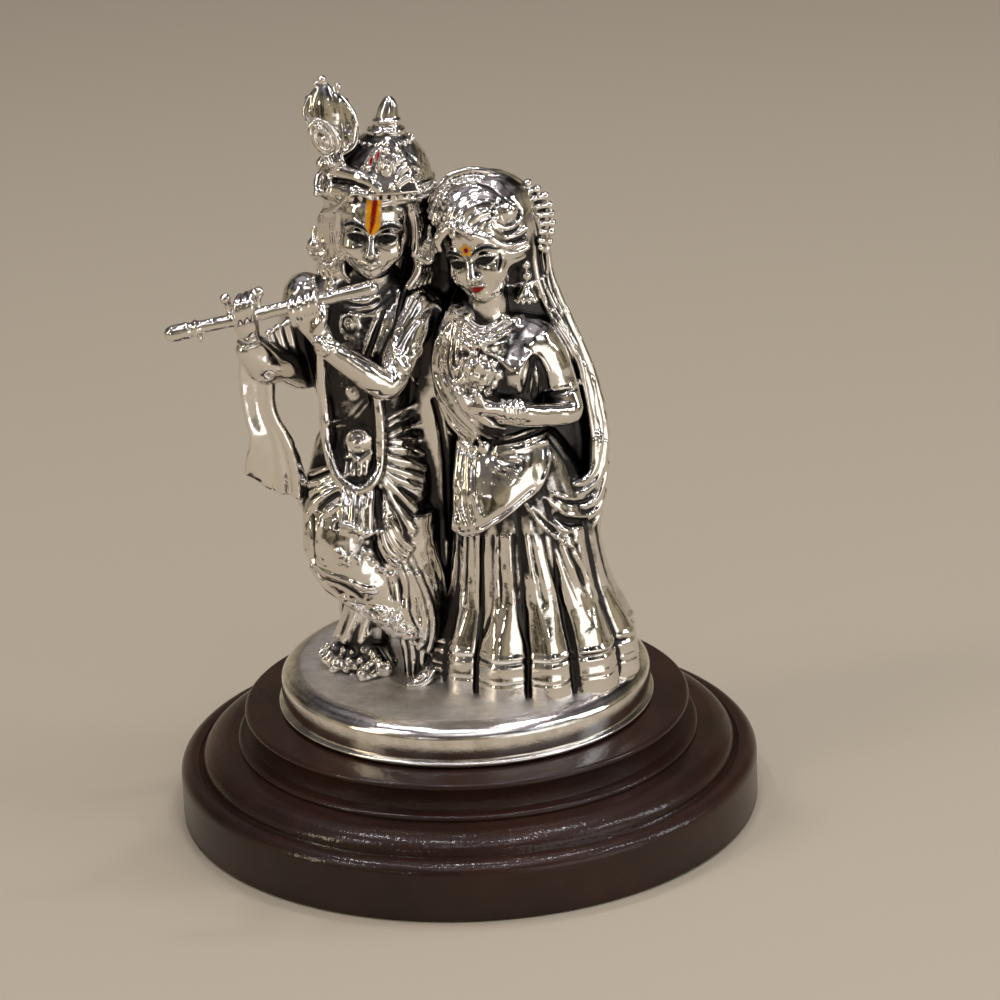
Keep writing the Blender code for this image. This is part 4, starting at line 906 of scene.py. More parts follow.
def krishna_hair(clay):
    clay.ball((-11.4, -4.0, 79.4), (8.4, 7.4, 8.2), soft=0.8)
    clay.limb([(-18, -3, 78, 3.2), (-18.6, -1, 72, 3.2), (-16.6, 0, 68, 2.6)], soft=1.0)
    clay.limb([(-5.4, -2.6, 78, 3.2), (-5.0, -1, 72, 3.0), (-6.4, 0, 68, 2.6)], soft=1.0)
    clay.limb([(-0.6, -1.4, 68, 2.8), (-0.8, -2.2, 78, 2.4)], soft=1.0)
    for side in (-1, 1):
        for k in range(6):
            shift = 0.75 * (k - 1)
            clay.limb([(-11.4 + (5.9 + shift * 0.6) * side, -9.8 + shift, 82.6, 0.5),
                       (-11.4 + (6.6 + shift * 0.6) * side, -9.0 + shift, 79.4, 0.66),
                       (-11.4 + (6.7 + shift * 0.6) * side, -8.4 + shift, 76.4 - 0.3 * k, 0.7),
                       (-11.4 + (6.3 + shift * 0.6) * side, -8.6 + shift, 73.8 - 0.4 * k, 0.55)], soft=0.15)
        clay.limb([(-11.4 + 7.0 * side, -9.2, 73.4, 0.6), (-11.4 + 8.2 * side, -9.4, 72.6, 0.6),
                   (-11.4 + 9.0 * side, -9.0, 73.8, 0.6), (-11.4 + 8.4 * side, -9.2, 74.8, 0.45)], soft=0.15)
    for shift in (0, 5, 10):
        clay.crease([(314 + shift, 214, 0.3), (311 + shift, 230, 0.36), (314 + shift, 247, 0.36),
                     (321 + shift, 262, 0.3)], soft=0.15)
        clay.crease([(402 + shift, 212, 0.3), (404 + shift, 232, 0.34), (402 + shift, 254, 0.34),
                     (396 + shift, 272, 0.3)], soft=0.15)
    # Long locks on the shoulder
    for k in range(5):
        clay.limb([(-20.0 + 0.8 * k, -6.4 - 0.4 * k, 75.0, 0.65), (-20.8 + 0.9 * k, -6.0 - 0.7 * k, 71.4, 0.75),
                   (-19.6 + 1.1 * k, -5.6 - 0.8 * k, 68.6, 0.7)], soft=0.15)
        clay.limb([(-3.6 - 0.6 * k, -6.6 - 0.4 * k, 76.0, 0.65), (-2.8 - 0.5 * k, -6.8 - 0.6 * k, 71.8, 0.75),
                   (-3.4 - 0.8 * k, -7.2 - 0.7 * k, 68.8, 0.7)], soft=0.15)
    for side, drop in ((-1, (-21.5, -8.6, 76.0)), (1, (-2.9, -8.4, 75.4))):
        drop = np.array(drop)
        clay.ball(drop, 1.3, soft=0.12)
        clay.limb([(*(drop + (0, 0.2, 1.3)), 0.6), (*(drop + (0.1, 0.4, 2.6)), 0.45)], 0.12)
        clay.beads([drop + (1.2 * cos(a), -0.4, -0.6 + 1.2 * sin(a)) for a in np.arange(-7, 1) * pi / 7], 0.34, 0.62,
                   soft=0.08)
        clay.ball(drop + (0, -0.2, -1.9), (0.55, 0.55, 0.8), soft=0.1)


def crown(clay):
    def knurl(angle, z):
        return 0.07 * np.cos(26 * angle) * np.cos(3.3 * z) * np.clip((92 - z) / 2, 0, 1)

    def ring(z, cx, cy, wide, deep, radius):
        clay.limb([(cx + wide * sin(a), cy - deep * cos(a), z, radius) for a in np.arange(25) * pi / 12], 0.15, 2)

    clay.stack([(82.0, -11.2, -4.6, 8.6, 7.7), (84.0, -11.0, -4.8, 9.0, 8.2), (86.0, -10.8, -5.0, 8.9, 8.0),
                (88.0, -10.4, -5.0, 8.0, 7.1), (90.0, -9.9, -4.8, 6.6, 5.9), (91.6, -9.5, -4.6, 5.0, 4.6),
                (92.6, -9.4, -4.5, 3.7, 3.5)], fold=knurl)
    ring(85.6, -10.9, -4.9, 9.1, 8.3, 0.42)
    ring(83.4, -11.1, -4.7, 9.0, 8.2, 0.42)
    for z, cx, cy, wide, deep, count in ((84.5, -11.0, -4.8, 9.25, 8.45, 44), (92.0, -9.5, -4.55, 4.6, 4.3, 24)):
        for k in range(count):
            a = 2 * pi * k / count
            clay.ball((cx + wide * sin(a), cy - deep * cos(a), z), 0.48, soft=0.08)
    # Finial: a blunt cone on two rings
    clay.stack([(91.6, -9.4, -4.5, 4.2, 4.0), (92.8, -9.25, -4.45, 3.3, 3.1), (93.8, -9.1, -4.35, 2.7, 2.5),
                (94.6, -9.0, -4.3, 2.2, 2.1), (95.6, -8.85, -4.2, 1.95, 1.85), (96.6, -8.75, -4.1, 1.75, 1.7),
                (97.6, -8.6, -4.05, 1.45, 1.4), (98.4, -8.5, -4.0, 1.0, 1.0), (98.9, -8.5, -4.0, 0.6, 0.6)], soft=0.3)
    ring(93.5, -9.15, -4.4, 2.75, 2.6, 0.5)
    ring(95.1, -8.95, -4.25, 2.0, 1.95, 0.42)
    # The pointed plaque over the brow, its stones and the two leaves beside them
    rows = []
    for i in range(11):
        t = i / 10
        half = 5.4 * (1 - t) ** 0.75 + 0.35
        rows.append([(-10.0 + 1.2 * t + half * s, -13.6 + 3.9 * t + 0.17 * half * s * s, 84.9 + 8.4 * t)
                     for s in np.linspace(-1, 1, 9)])
    clay.cloth(rows, 1.1, 0.25)
    for side in (0, -1):
        clay.limb([(*row[side], 0.4) for row in rows], 0.15, 1)

    def stone(u, v, wide, high, lean):
        centre = clay.spot(u, v)
        clay.ball(centre + (0, 0.2, 0), (wide, 0.8, high), (8, lean, 0), soft=0.06)
        loop = [(centre[0] + 1.5 * wide * sin(a) + 0.2 * lean / 10 * high * cos(a), centre[1] + 0.1,
                 centre[2] + 1.35 * high * cos(a), 0.25) for a in np.arange(17) * pi / 8]
        clay.limb(loop, 0.08, 2)

    stone(386, 171, 0.85, 1.35, 0)
    stone(368.5, 168.5, 0.4, 0.6, -10)
    for leaf in ([(397, 181), (402, 170), (412, 166), (419, 170)], [(399, 184), (408, 178), (418, 176)],
                 [(396, 163), (402, 157), (398, 150)], [(374, 178), (366, 180), (358, 176)],
                 [(378, 160), (374, 156), (379, 150)]):
        clay.fold(even(leaf, 0.38), -0.2, soft=0.1)
    clay.dabs([(386, 151, 0.55), (386, 144, 0.5), (394, 157, 0.4), (377, 187, 0.45), (392, 187, 0.45),
               (403, 163, 0.4), (384, 158, 0.35), (371, 160, 0.5), (378, 156, 0.5), (413, 180, 0.4)])
    # The edge over the brow, and the folded cloth that rises to the feather
    clay.fold([(315, 194, 0.4), (333, 192.5, 0.42), (356, 193, 0.42), (367, 196, 0.42), (377, 203, 0.45),
               (389, 201.5, 0.42), (401, 198, 0.42), (420, 200, 0.4)], -0.2, soft=0.12)
    clay.fold([(324, 158, 0.7), (322, 165, 1.1), (332, 169, 1.4), (346, 173, 1.3), (362, 178, 1.0), (378, 189, 0.5)],
              0.1, soft=0.3)
    clay.crease([(334, 181, 0.45), (346, 182, 0.45), (358, 184, 0.4), (368, 188, 0.35)], soft=0.15)
    clay.crease([(322, 177, 0.6), (322, 185, 0.7), (324, 191, 0.5)], soft=0.2)
    clay.fold([(317, 195, 0.4), (316, 182, 0.45), (320, 172, 0.4), (328, 173, 0.4), (331, 184, 0.45),
               (326, 195, 0.4)], -0.3, soft=0.12)
    clay.dabs([(338, 183, 0.35), (348, 184, 0.35), (357, 186, 0.3), (351, 199, 0.6)])
    clay.fold([(352, 194, 0.4), (344, 202, 0.5), (334, 211, 0.5), (322, 213, 0.4)], -0.2, soft=0.12)


def feather(clay):
    clay.limb(placed([(338, 165, -9.8, 1.3), (334, 148, -8.8, 1.2), (328, 132, -8.2, 2.1), (325, 110, -7.4, 2.5),
                      (323, 93, -6.8, 1.7), (322, 84, -6.4, 0.9)]), flat=(0, 1, 0.2), depth=0.4)
    clay.limb(placed([(344, 150, -8.6, 1.3), (348, 136, -8.0, 1.5), (347, 118, -7.4, 1.7), (338, 101, -7.0, 1.2)]),
              flat=(0, 1, 0.2), depth=0.4)
    clay.ball(at(348, 141, -8.4), (1.15, 0.9, 2.1), soft=0.3)
    rims = (([(311, 128), (305, 116), (306, 106), (311, 96), (316, 90)], 0.45),
            ([(313, 118), (309, 108), (313, 97)], 0.45),
            ([(337, 140), (331, 122), (325, 104), (320, 92), (322, 82)], 0.55),
            ([(334, 134), (331, 116), (334, 102), (330, 90)], 0.5),
            ([(344, 153), (354, 146), (357, 130), (352, 113), (342, 100), (334, 90)], 0.42),
            ([(342, 150), (342, 132), (341, 116), (336, 104)], 0.42), ([(349, 150), (350, 136), (348, 124)], 0.4))
    for route, radius in rims:
        clay.limb(placed([(u, v, -8.9 + 0.045 * (140 - v), radius) for u, v in route]), 0.15)
    for u, v, size in ((322, 79.5, 0.75), (338, 87, 0.6), (346, 101, 0.5), (316, 84, 0.5), (307, 98, 0.45),
                       (349, 108, 0.45)):
        clay.ball(at(u, v, -6.8), size, soft=0.1)
    # The eye: a leaning pointed oval with a thick rim
    clay.ball(at(322.5, 138, -9.0), (1.75, 0.8, 2.5), (0, -16, 0), soft=0.2)
    rim = [(327, 158), (317, 150), (310, 138), (311, 125), (319, 120), (329, 127), (337, 140), (335, 151), (327, 158)]
    clay.limb(placed([(u, v, -9.5, 0.4) for u, v in rim]), 0.12)
    clay.limb(placed([(u, v, -9.9, 0.26) for u, v in [
        (326, 151), (318, 145), (314, 136), (317, 129), (325, 131), (331, 140), (330, 149), (326, 151)]]), 0.08)
    clay.ball(at(325, 141, -9.6), (0.5, 0.6, 0.95), (0, -16, 0), soft=0.08)
    clay.limb(placed([(327, 158, -9.6, 0.5), (331, 165, -10.2, 0.55)]), 0.3)


def krishna_head_clay():
    clay = Clay((-25, -18, 67.4), (3, 7, 104.5), HEAD_CELL)
    clay.limb([(-13, -6.3, 66, 3.8), (-12, -7.2, 76, 3.3)], soft=1.2)
    krishna_hair(clay)
    face = Face(clay, (-11.8, -7.7, 78.3), (2, 5, -3), 1.0)
    face.model()
    crown(clay)
    feather(clay)

    def paint(spots):
        colours = np.zeros((len(spots), 4))
        x, z, behind = painted_face(face, spots, colours)
        mark = np.maximum(np.abs(x - 0.15) - 1.25 * np.sqrt(np.clip((z - 0.55) / 1.6, 0, 1)), z - 6.2)
        brush(colours, np.maximum(mark, 0.6 - z) + behind, YELLOW_PAINT)
        brush(colours, line_distance(x, z, [(-0.15, 1.1, 0.2), (0.15, 3.0, 0.42), (0.35, 5.9, 0.45)]) + behind,
              RED_PAINT)
        for u, v, long in ((372, 157, 0.2), (371.5, 159, 0.3), (371, 161, 0.34), (370.5, 163, 0.3), (370, 165, 0.2),
                           (379, 152, 0.2), (378.5, 154, 0.3), (378, 156, 0.32), (377.5, 158, 0.28), (377, 160, 0.2)):
            off = np.linalg.norm(np.cross(spots - EYE, sight(u, v)), axis=1) - long
            brush(colours, off + np.maximum(spots[:, 1] + 8, 0), RED_PAINT)
        return colours

    return clay, paint


# Radha
BORDER = 7.2


def pleat(angle, z):
    """Broad rounded pleats parted by narrow grooves, which split in two higher up."""
    grooves = np.radians((-150, -118, -90, -62, -36, -4.5, 22.5, 58, 88, 118, 150, 180, -180))
    result = 0.0
    fade = np.clip((42 - z) / 26, 0.15, 1)
    for groove in grooves:
        result = result - 0.9 * fade * np.exp(-((angle - groove) / radians(1.7)) ** 2)
        result = result - 1.0 * fade * np.exp(-((angle - groove) / radians(8)) ** 2)
    ribs = np.sort(grooves)[:-1]
    for left, right in zip(ribs, np.roll(ribs, -1)):
        middle = (left + right) / 2 if right > left else pi
        split = np.clip((z - 10) / 7, 0, 1) * np.clip((40 - z) / 20, 0, 1)
        result = result - 0.55 * split * np.exp(-((angle - middle) / radians(3.88)) ** 2)
        result = result + 0.45 * np.clip((17 - z) / 6, 0, 1) * np.exp(-((angle - middle) / radians(7)) ** 2)
    lines = ((BORDER, 0.32, 0.35), (BORDER - 0.85, 0.25, -0.3), (BORDER - 1.7, 0.25, 0.2), (BORDER - 3.9, 0.22, 0.2),
             (BORDER - 4.4, 0.22, -0.2), (BORDER - 4.9, 0.22, 0.2))
    for height, width, lift in lines:
        result = result + lift * np.exp(-((z - height) / width) ** 2)
    return result + 1.0


def radha_skirt(clay):
    clay.stack([(-0.6, 11.6, -5.2, 17.4, 16.4), (4, 11.5, -5.2, 16.9, 16.0), (7.8, 11.5, -5.2, 16.2, 15.4),
                (14, 11.2, -5.4, 14.0, 13.4), (22, 10.9, -5.8, 12.3, 11.7),
                (30, 10.5, -6.4, 11.0, 9.9), (37, 9.6, -7.4, 9.4, 8.0), (43, 8.3, -8.2, 7.0, 6.2)], fold=pleat)
    levels = np.array((536, 560, 585, 605, 630, 650, 690))
    seams = np.array(((457, 457, 456, 454, 450, 446, 441), (493, 492, 492, 492, 485, 478, 476),
                      (513, 514, 516, 518, 522, 529, 528), (543, 549, 556, 562, 572, 575, 581),
                      (572, 584, 598, 608, 621, 627, 634)))
    for seam in seams[1:4]:
        clay.crease([(u, v, radius) for u, v, radius in zip(seam, levels, (0.35, 0.4, 0.42, 0.4, 0.38, 0.35, 0.32))])
    for left, right, shares in zip(seams, seams[1:], ((0.14, 0.38, 0.6, 0.84), (0.22, 0.5, 0.8),
                                                      (0.2, 0.45, 0.72), (0.25, 0.55, 0.85))):
        for share, after in zip(shares, shares[1:] + (1.0,)):
            rib = left + (right - left) * share
            clay.fold([(u, v, radius) for u, v, radius in zip(rib[:4], levels, (0.42, 0.42, 0.36, 0.2))], 0.2,
                      soft=0.15)
            gap = left + (right - left) * (share + after) / 2
            if after < 1:
                clay.crease([(u, v, radius) for u, v, radius in zip(gap[:4], levels, (0.32, 0.34, 0.3, 0.2))],
                            soft=0.15)


def radha_torso(clay):
    clay.stack([(38, 9.2, -7.6, 8.4, 7.2), (43, 8.3, -8.4, 7.0, 6.2), (48, 7.6, -8.6, 7.2, 6.2),
                (53, 7.4, -8.8, 8.2, 6.8), (57.5, 7.4, -8.2, 9.0, 6.0), (61, 7.2, -7.4, 8.4, 4.6),
                (63, 6.6, -8, 5.0, 3.8)])
    for side in (-1, 1):
        clay.ball((6.6 + 3.6 * side, -12.2, 54.6), (3.5, 3.2, 3.5), soft=1.0)
    clay.ball((4.4, -12.0, 58), (5.0, 3.0, 4.6), soft=1.0)
    clay.limb([(6.4, -8.6, 60, 3.4), (6.0, -9.4, 68, 3.1)], soft=1.0)


def radha_arm(clay):
    clay.limb(placed([(531, 345, -8, 4.7), (544, 362, -8, 4.4), (556, 383, -8.4, 3.5), (565, 399, -9.6, 2.6),
                      (569.5, 411, -11, 1.95), (541, 413.5, -14.4, 1.8), (516, 412, -17.0, 1.7),
                      (500, 410, -18.2, 1.6)]), soft=0.6, spans=6)
    clay.limb(placed([(575, 417, -11.2, 0.75), (560, 421, -13.0, 0.75), (530, 423, -16.2, 0.7),
                      (500, 421, -18.2, 0.6)]), soft=0.5)
    clay.limb(placed([(500, 409, -18.4, 1.5), (484, 408, -19.2, 1.9), (472, 405, -19.2, 1.7)]), soft=0.4,
              flat=(0, 0.4, 1), depth=0.75)
    for k in range(4):
        clay.limb(placed([(480 - 2 * k, 414 - 4 * k, -20.0, 0.6), (466 - 2.4 * k, 409 - 4.6 * k, -20.4, 0.6),
                          (459 - 1.0 * k, 399 - 4 * k, -19.8, 0.55)]), soft=0.12)
    clay.limb(placed([(484, 405, -20.2, 0.65), (478, 396, -20.4, 0.6), (473, 390, -20.0, 0.5)]), soft=0.2)
    for u in (503, 509, 515, 520.5):
        centre = at(u, 410.5, -17.5 + 0.4 * (u - 509) / 7)
        clay.limb([(*(centre + 1.85 * (cos(a) * np.array((-0.36, 0.93, 0)) + sin(a) * np.array((0, 0, 1)))), 0.36)
                   for a in np.arange(13) * pi / 6], 0.1, 3)
    clay.dabs([(505, 407, 0.4), (511, 407, 0.4), (517, 408, 0.35), (505, 413, 0.4), (511, 414, 0.4)])
    clay.fold([(538, 392, 0.35), (548, 389, 0.35), (560, 389, 0.35), (571, 387, 0.35), (581, 381, 0.35)], -0.3,
              soft=0.1)
    clay.crease([(540, 395, 0.3), (560, 392, 0.3), (578, 388, 0.3)], soft=0.1)
    clay.crease([(534, 357, 0.35), (531, 372, 0.6), (526, 390, 0.5)], start=-16)
    for route in ([(533, 354), (526, 368), (521, 386)], [(534, 353), (530, 370), (527, 392)],
                  [(535, 353), (535, 372), (534, 394)], [(536, 354), (540, 370), (541, 392)],
                  [(538, 357), (545, 368), (549, 388)]):
        clay.crease([(u, v, 0.3 + 0.08 * k) for k, (u, v) in enumerate(route)], start=-18, soft=0.12)
    clay.fold([(520, 392, 0.3), (518, 376, 0.35), (524, 362, 0.35), (533, 352, 0.35), (542, 358, 0.4),
               (549, 372, 0.4), (551, 387, 0.35)], -0.2, start=-18, soft=0.15)


def radha_shawl(clay):
    outer = [(1.4, -6.0, 66.0), (-0.2, -9.0, 63.4), (-1.7, -10.2, 60.4), (-2.6, -10.6, 55.8), (-2.3, -11.6, 50.8),
             (-0.4, -12.6, 46), (2.4, -13.5, 43.4)]
    inner = [(4.4, -9.0, 65.4), (3.2, -11.6, 63), (2.2, -12.9, 60.2), (1.6, -13.7, 55.8), (2.0, -14.3, 51.0),
             (4.6, -14.5, 47.4), (8.6, -13.9, 44.8)]
    for t in np.arange(6) / 5:
        clay.limb(blend(outer, inner, t, 0.8), soft=0.4, spans=6)
    strands = [[(437, 340), (433, 358), (434, 378), (444, 401), (458, 419), (473, 433), (480, 441)],
               [(441, 334), (437, 354), (437, 378), (448, 401), (462, 418), (478, 432), (494, 438)],
               [(446, 328), (441, 350), (441, 376), (452, 398), (466, 416), (483, 430), (504, 434)],
               [(450, 324), (446, 348), (446, 370), (455, 390), (467, 408), (482, 424), (504, 429)],
               [(454, 323), (451, 347), (451, 368), (458, 384), (468, 400)], [(459, 323), (456, 343), (457, 362)],
               [(464, 323), (461, 336), (461, 350)]]
    for k, strand in enumerate(strands):
        clay.fold(even(strand, 0.44), -0.1, start=-16.5, soft=0.1)
        if k % 2 == 0:
            clay.pearls(strand, 0.26, 0.6, start=-17.5, sink=-0.9)
    for a, b in zip(strands, strands[1:]):
        clay.crease(between(a, b, 0.28), start=-17, soft=0.1)
    for route in ([(443, 404), (452, 420), (461, 434), (468, 440)], [(455, 424), (462, 434), (478, 440)]):
        clay.crease(even(route, 0.3), start=-16, soft=0.1)


def radha_lap(clay):
    """The cloth over her lap: narrow folds down its left, a smooth front, and a hem that rises to the right."""
    top = [(0.2, -12.4, 43.0), (2.4, -13.6, 42.6), (5.2, -14.4, 42.4), (8.0, -14.4, 43.4), (11.4, -13.4, 44.0),
           (14.2, -11.2, 43.6)]
    low = placed([(453, 528, -15.6), (464, 533, -17.2), (484, 529, -18.4), (505, 516, -18.2), (526, 498, -16.8),
                  (543, 478, -14.6)])
    upper, lower = through(top, 10), through(low, 10)
    rows = [[a + (b - a) * t + (0, -1.2 * sin(pi * t * 0.85), 0) for a, b in zip(upper, lower)]
            for t in np.arange(13) / 12]
    clay.cloth(rows, 1.3, 0.35)
    for route in ([(459, 449), (456, 475), (455, 503), (458, 524)], [(464, 449), (461, 478), (461, 505), (465, 528)],
                  [(469, 452), (468, 475), (468, 500), (473, 527)], [(474, 458), (473, 480), (475, 500), (481, 516)]):
        clay.fold(even(route, 0.42), -0.05, soft=0.12)
        clay.crease(even(route, 0.26, 2.6, -0.5), soft=0.1)
    for route in ([(458, 449), (456, 475), (455.5, 503), (459, 524)],
                  [(469, 450), (468, 478), (469, 500), (473, 524)]):
        clay.pearls(route, 0.24, 0.6, sink=-0.5)
    hem = [(455, 518), (458, 529), (464, 534), (474, 534), (484, 529), (500, 520), (516, 508), (526, 499), (535, 492),
           (541, 484), (547, 468), (549, 452)]
    clay.fold(even(hem, 0.42), -0.2, soft=0.12)
    clay.crease(even(hem[2:9], 0.26, -1.5, -4.5), soft=0.12)
    for route, radius in (([(496, 447), (512, 445), (530, 440), (547, 432)], 0.45),
                          ([(495, 452), (514, 450), (530, 446), (547, 441)], 0.4),
                          ([(494, 441), (510, 438), (526, 432), (545, 426)], 0.45),
                          ([(455, 434), (464, 439), (476, 441)], 0.45), ([(458, 442), (466, 446), (474, 447)], 0.4)):
        clay.fold(even(route, radius), -0.3, soft=0.12)
    clay.pearls([(498, 455), (514, 453), (532, 449), (548, 444)], 0.28, 0.7)
    clay.crease([(494, 444.5, 0.25), (512, 441, 0.25), (530, 436, 0.25), (545, 430, 0.25)], soft=0.1)
    for route in ([(497, 456), (508, 459), (519, 459)], [(494, 460), (501, 466), (508, 469)],
                  [(489, 461), (494, 469), (502, 474)]):
        clay.fold(even(route, 0.32), -0.05, soft=0.15)
        clay.crease(even(route, 0.2, 1, 2.6), soft=0.1)
    centre = clay.spot(484.5, 448.5)
    clay.ball(centre + (0, 0.2, 0), (0.85, 0.8, 1.35), soft=0.1)
    clay.limb([(centre[0] + 1.15 * sin(a) * (1 - 0.25 * cos(a)), centre[1] - 0.1, centre[2] + 0.1 + 1.85 * cos(a),
                0.28) for a in np.arange(17) * pi / 8], 0.1, 2)


def radha_swags(clay):
    """The veil's end tucked in hanging folds at her left hip, with a hollow pocket above them."""
    swags = [placed(route) for route in ([(549, 468, -13.4), (556, 479, -13.0), (568, 484, -12.0), (581, 482, -10.6),
                                          (591, 472, -9.2), (597, 455, -8.2), (600, 436, -7.8)],
                                         [(545, 484, -14.2), (556, 490, -13.6), (572, 494, -12.2), (586, 490, -10.6),
                                          (597, 478, -9.0), (603, 460, -8.0), (605, 442, -7.4)],
                                         [(541, 489, -14.8), (552, 498, -14.2), (568, 505, -12.8), (584, 506, -11.0),
                                          (596, 498, -9.4), (603, 482, -8.2), (606, 464, -7.4)],
                                         [(538, 492, -15.2), (550, 504, -14.6), (566, 514, -13.2), (582, 517, -11.4),
                                          (594, 512, -9.8), (601, 500, -8.6), (604, 490, -7.8)],
                                         [(533, 496, -15.8), (545, 513, -15.0), (559, 526, -13.6), (573, 531, -12.0),
                                          (587, 527, -10.4), (595, 520, -9.4), (599, 512, -8.6)],
                                         [(526, 503, -16.4), (535, 519, -15.8), (546, 533, -14.8), (560, 545, -13.4),
                                          (575, 554, -11.8), (588, 560, -10.4), (598, 564, -9.2)])]
    curves = [through(swag, 5) for swag in swags]
    sheet = [curve + (0, 1.1, 0) for curve in curves]
    rows = [sheet[0]]
    for a, b in zip(sheet, sheet[1:]):
        rows += [(a + b) / 2 + (0, 0.35, 0), b]
    clay.cloth(rows, 1.5, 0.4)
    for curve, radius in zip(curves, (0.8, 0.7, 0.7, 0.7, 0.75, 0.7)):
        clay.limb([(*p, radius) for p in curve], soft=0.2, spans=1)
    for route in ([(532, 507), (546, 521), (560, 529), (570, 532)], [(544, 497), (556, 508), (570, 516), (586, 516)],
                  [(529, 509), (541, 526), (556, 538), (574, 548)], [(553, 494), (572, 500), (592, 494)]):
        clay.fold(even(route, 0.4), -0.2, soft=0.15)
        clay.crease(even(route, 0.3, 1, 3.2), soft=0.12)
    clay.crease([(556, 516, 0.5), (570, 523, 0.75), (584, 522, 0.6)], soft=0.2)
    clay.dabs([(557, 538, 0.4), (549, 531, 0.4), (565, 543, 0.4), (576, 540, 0.45)])
    clay.limb([(*p, 0.55) for p in placed([(575, 532, -11.8), (580, 540, -11.4), (577, 553, -11.4)])], soft=0.3)


def radha_flowers(clay):
    clay.ball(at(477, 374, -17.4), (2.9, 1.5, 2.9), soft=0.3)
    rng = np.random.default_rng(7)
    blossoms = [(464, 361), (473, 356), (483, 358), (492, 364), (459, 371), (468, 368), (478, 366), (487, 372),
                (497, 375), (463, 380), (473, 377), (483, 381), (492, 384), (468, 389), (478, 390), (488, 391),
                (460, 389), (472, 396)]
    for spot in clay.seen(blossoms, start=-20.5):
        middle = np.array(spot) + (0, -0.3, 0)
        turn = rng.uniform(0, 1)
        for p in range(5):
            b = 2 * pi * p / 5 + turn
            clay.ball(middle + (0.6 * cos(b), -0.15 * (p % 2), 0.6 * sin(b)), (0.4, 0.4, 0.4), soft=0.03)
        clay.ball(middle + (0, -0.3, 0), 0.3, soft=0.03)
    for a, b in (((456, 384), (450, 378)), ((497, 386), (504, 389)), ((458, 362), (452, 357)),
                 ((495, 360), (501, 356))):
        clay.limb(placed([(*a, -18.4, 0.45), (*b, -17.8, 0.25)]), 0.15, flat=(0, 1, 0), depth=0.6)


def radha_jewels(clay):
    for route, radius in (([(466, 316), (477, 326), (492, 327), (508, 316)], 0.36),
                          ([(462, 319), (474, 331), (490, 334), (506, 326), (516, 315)], 0.36),
                          ([(461, 326), (471, 338), (486, 342), (500, 337), (514, 327)], 0.3),
                          ([(488, 341), (499, 338), (508, 332)], 0.3), ([(461, 330), (466, 336), (473, 338)], 0.4),
                          ([(460, 338), (465, 345), (470, 349)], 0.4),
                          ([(522, 315), (514, 332), (505, 350), (497, 362)], 0.34),
                          ([(518, 318), (510, 334), (501, 350), (493, 360)], 0.26),
                          ([(490, 353), (502, 361), (512, 369)], 0.3)):
        clay.fold(even(route, radius), -0.2, start=-16, soft=0.1)
        clay.crease(even(route, 0.2, 0, 3), start=-16.5, soft=0.1)
    clay.pearls([(464, 323), (474, 335), (488, 338), (502, 331), (512, 322)], 0.26, 0.6, start=-16)
    clay.ball(clay.spot(478.6, 343.5, -17), 1.15, soft=0.12)
    clay.dabs([(464, 344, 0.4), (461, 350, 0.4), (468, 351, 0.4), (486, 337, 0.45), (484, 350, 0.3)], start=-17)


def radha_veil(clay):
    def ripple(angle, z):
        return 0.4 * np.cos(15 * angle) * np.clip((62 - z) / 22, 0.0, 1) * (np.abs(angle) > 0.8)

    clay.stack([(17, 11.5, 2.2, 11.0, 7.8), (26, 11.3, 1.0, 12.0, 8.0), (34, 11.0, -0.4, 13.0, 7.8),
                (42, 10.8, -1.0, 13.2, 7.2), (50, 10.2, -1.4, 12.2, 6.6), (57, 9.6, -1.8, 10.6, 6.2),
                (64, 8.6, -2.0, 8.6, 6.0), (72, 7.8, -1.8, 8.8, 6.8), (78, 7.2, -2.6, 8.6, 7.8),
                (83, 6.6, -3.6, 7.0, 6.6), (85.6, 6.2, -4.2, 4.0, 4.0)], fold=ripple)
    front = [(13.2, -6.6, 79.5), (13.6, -5.8, 73.4), (14.6, -5.6, 66.6), (17.2, -6.4, 60.8), (20.6, -7.0, 54.6),
             (22.2, -7.6, 48.0), (22.9, -8.0, 41.0), (22.4, -8.4, 35.6)]
    outer = [(14.6, -1.6, 81.0), (16.0, -0.6, 74.0), (16.6, -1.0, 67.4), (19.4, -1.4, 60.0), (22.6, -1.8, 52.0),
             (24.6, -2.4, 43.4), (24.9, -3.0, 37.3), (23.8, -3.6, 31.5)]
    rows = [[a + (b - a) * s for s in (0, 0.33, 0.67, 1)] for a, b in zip(through(front, 4), through(outer, 4))]
    clay.cloth(rows, 1.3, 0.3)
    edges = list(zip(through(front, 2), through(outer, 2)))
    for share, radius in ((0.0, 0.8), (0.34, 0.75), (0.68, 0.75), (1.0, 0.75)):
        clay.limb([(*(a + (b - a) * share + (0.1, -0.25, 0)), radius) for a, b in edges], 0.1)
    for share in (0.17, 0.51, 0.84):
        clay.limb([(*(a + (b - a) * share + (0.3, -0.75, 0)), 0.6) for a, b in edges], 0.12, cut=True)


def veil_grooves(clay, top):
    """Narrow grooves between the veil's hanging strands, above or below her shoulder."""
    first = [(523, 210), (534, 235), (539, 258), (542, 281), (550, 305), (565, 328), (583, 356), (591, 395),
             (596, 437)]
    second = [(532, 215), (543, 243), (546, 262), (552, 290), (564, 316), (578, 340), (590, 366), (598, 405),
              (601, 440)]
    for route, radius in ((first, 0.5), (second, 0.4)):
        clay.crease(even(route[:5] if top else route[4:], radius), start=-14, soft=0.12)


def radha_clay():
    clay = Clay((-6.5, -25, -0.8), (31, 14, 68), BODY_CELL)
    for form in (radha_skirt, radha_torso, radha_veil, radha_lap, radha_swags, radha_shawl, radha_arm, radha_jewels,
                 radha_flowers):
        form(clay)
    veil_grooves(clay, False)
    return clay


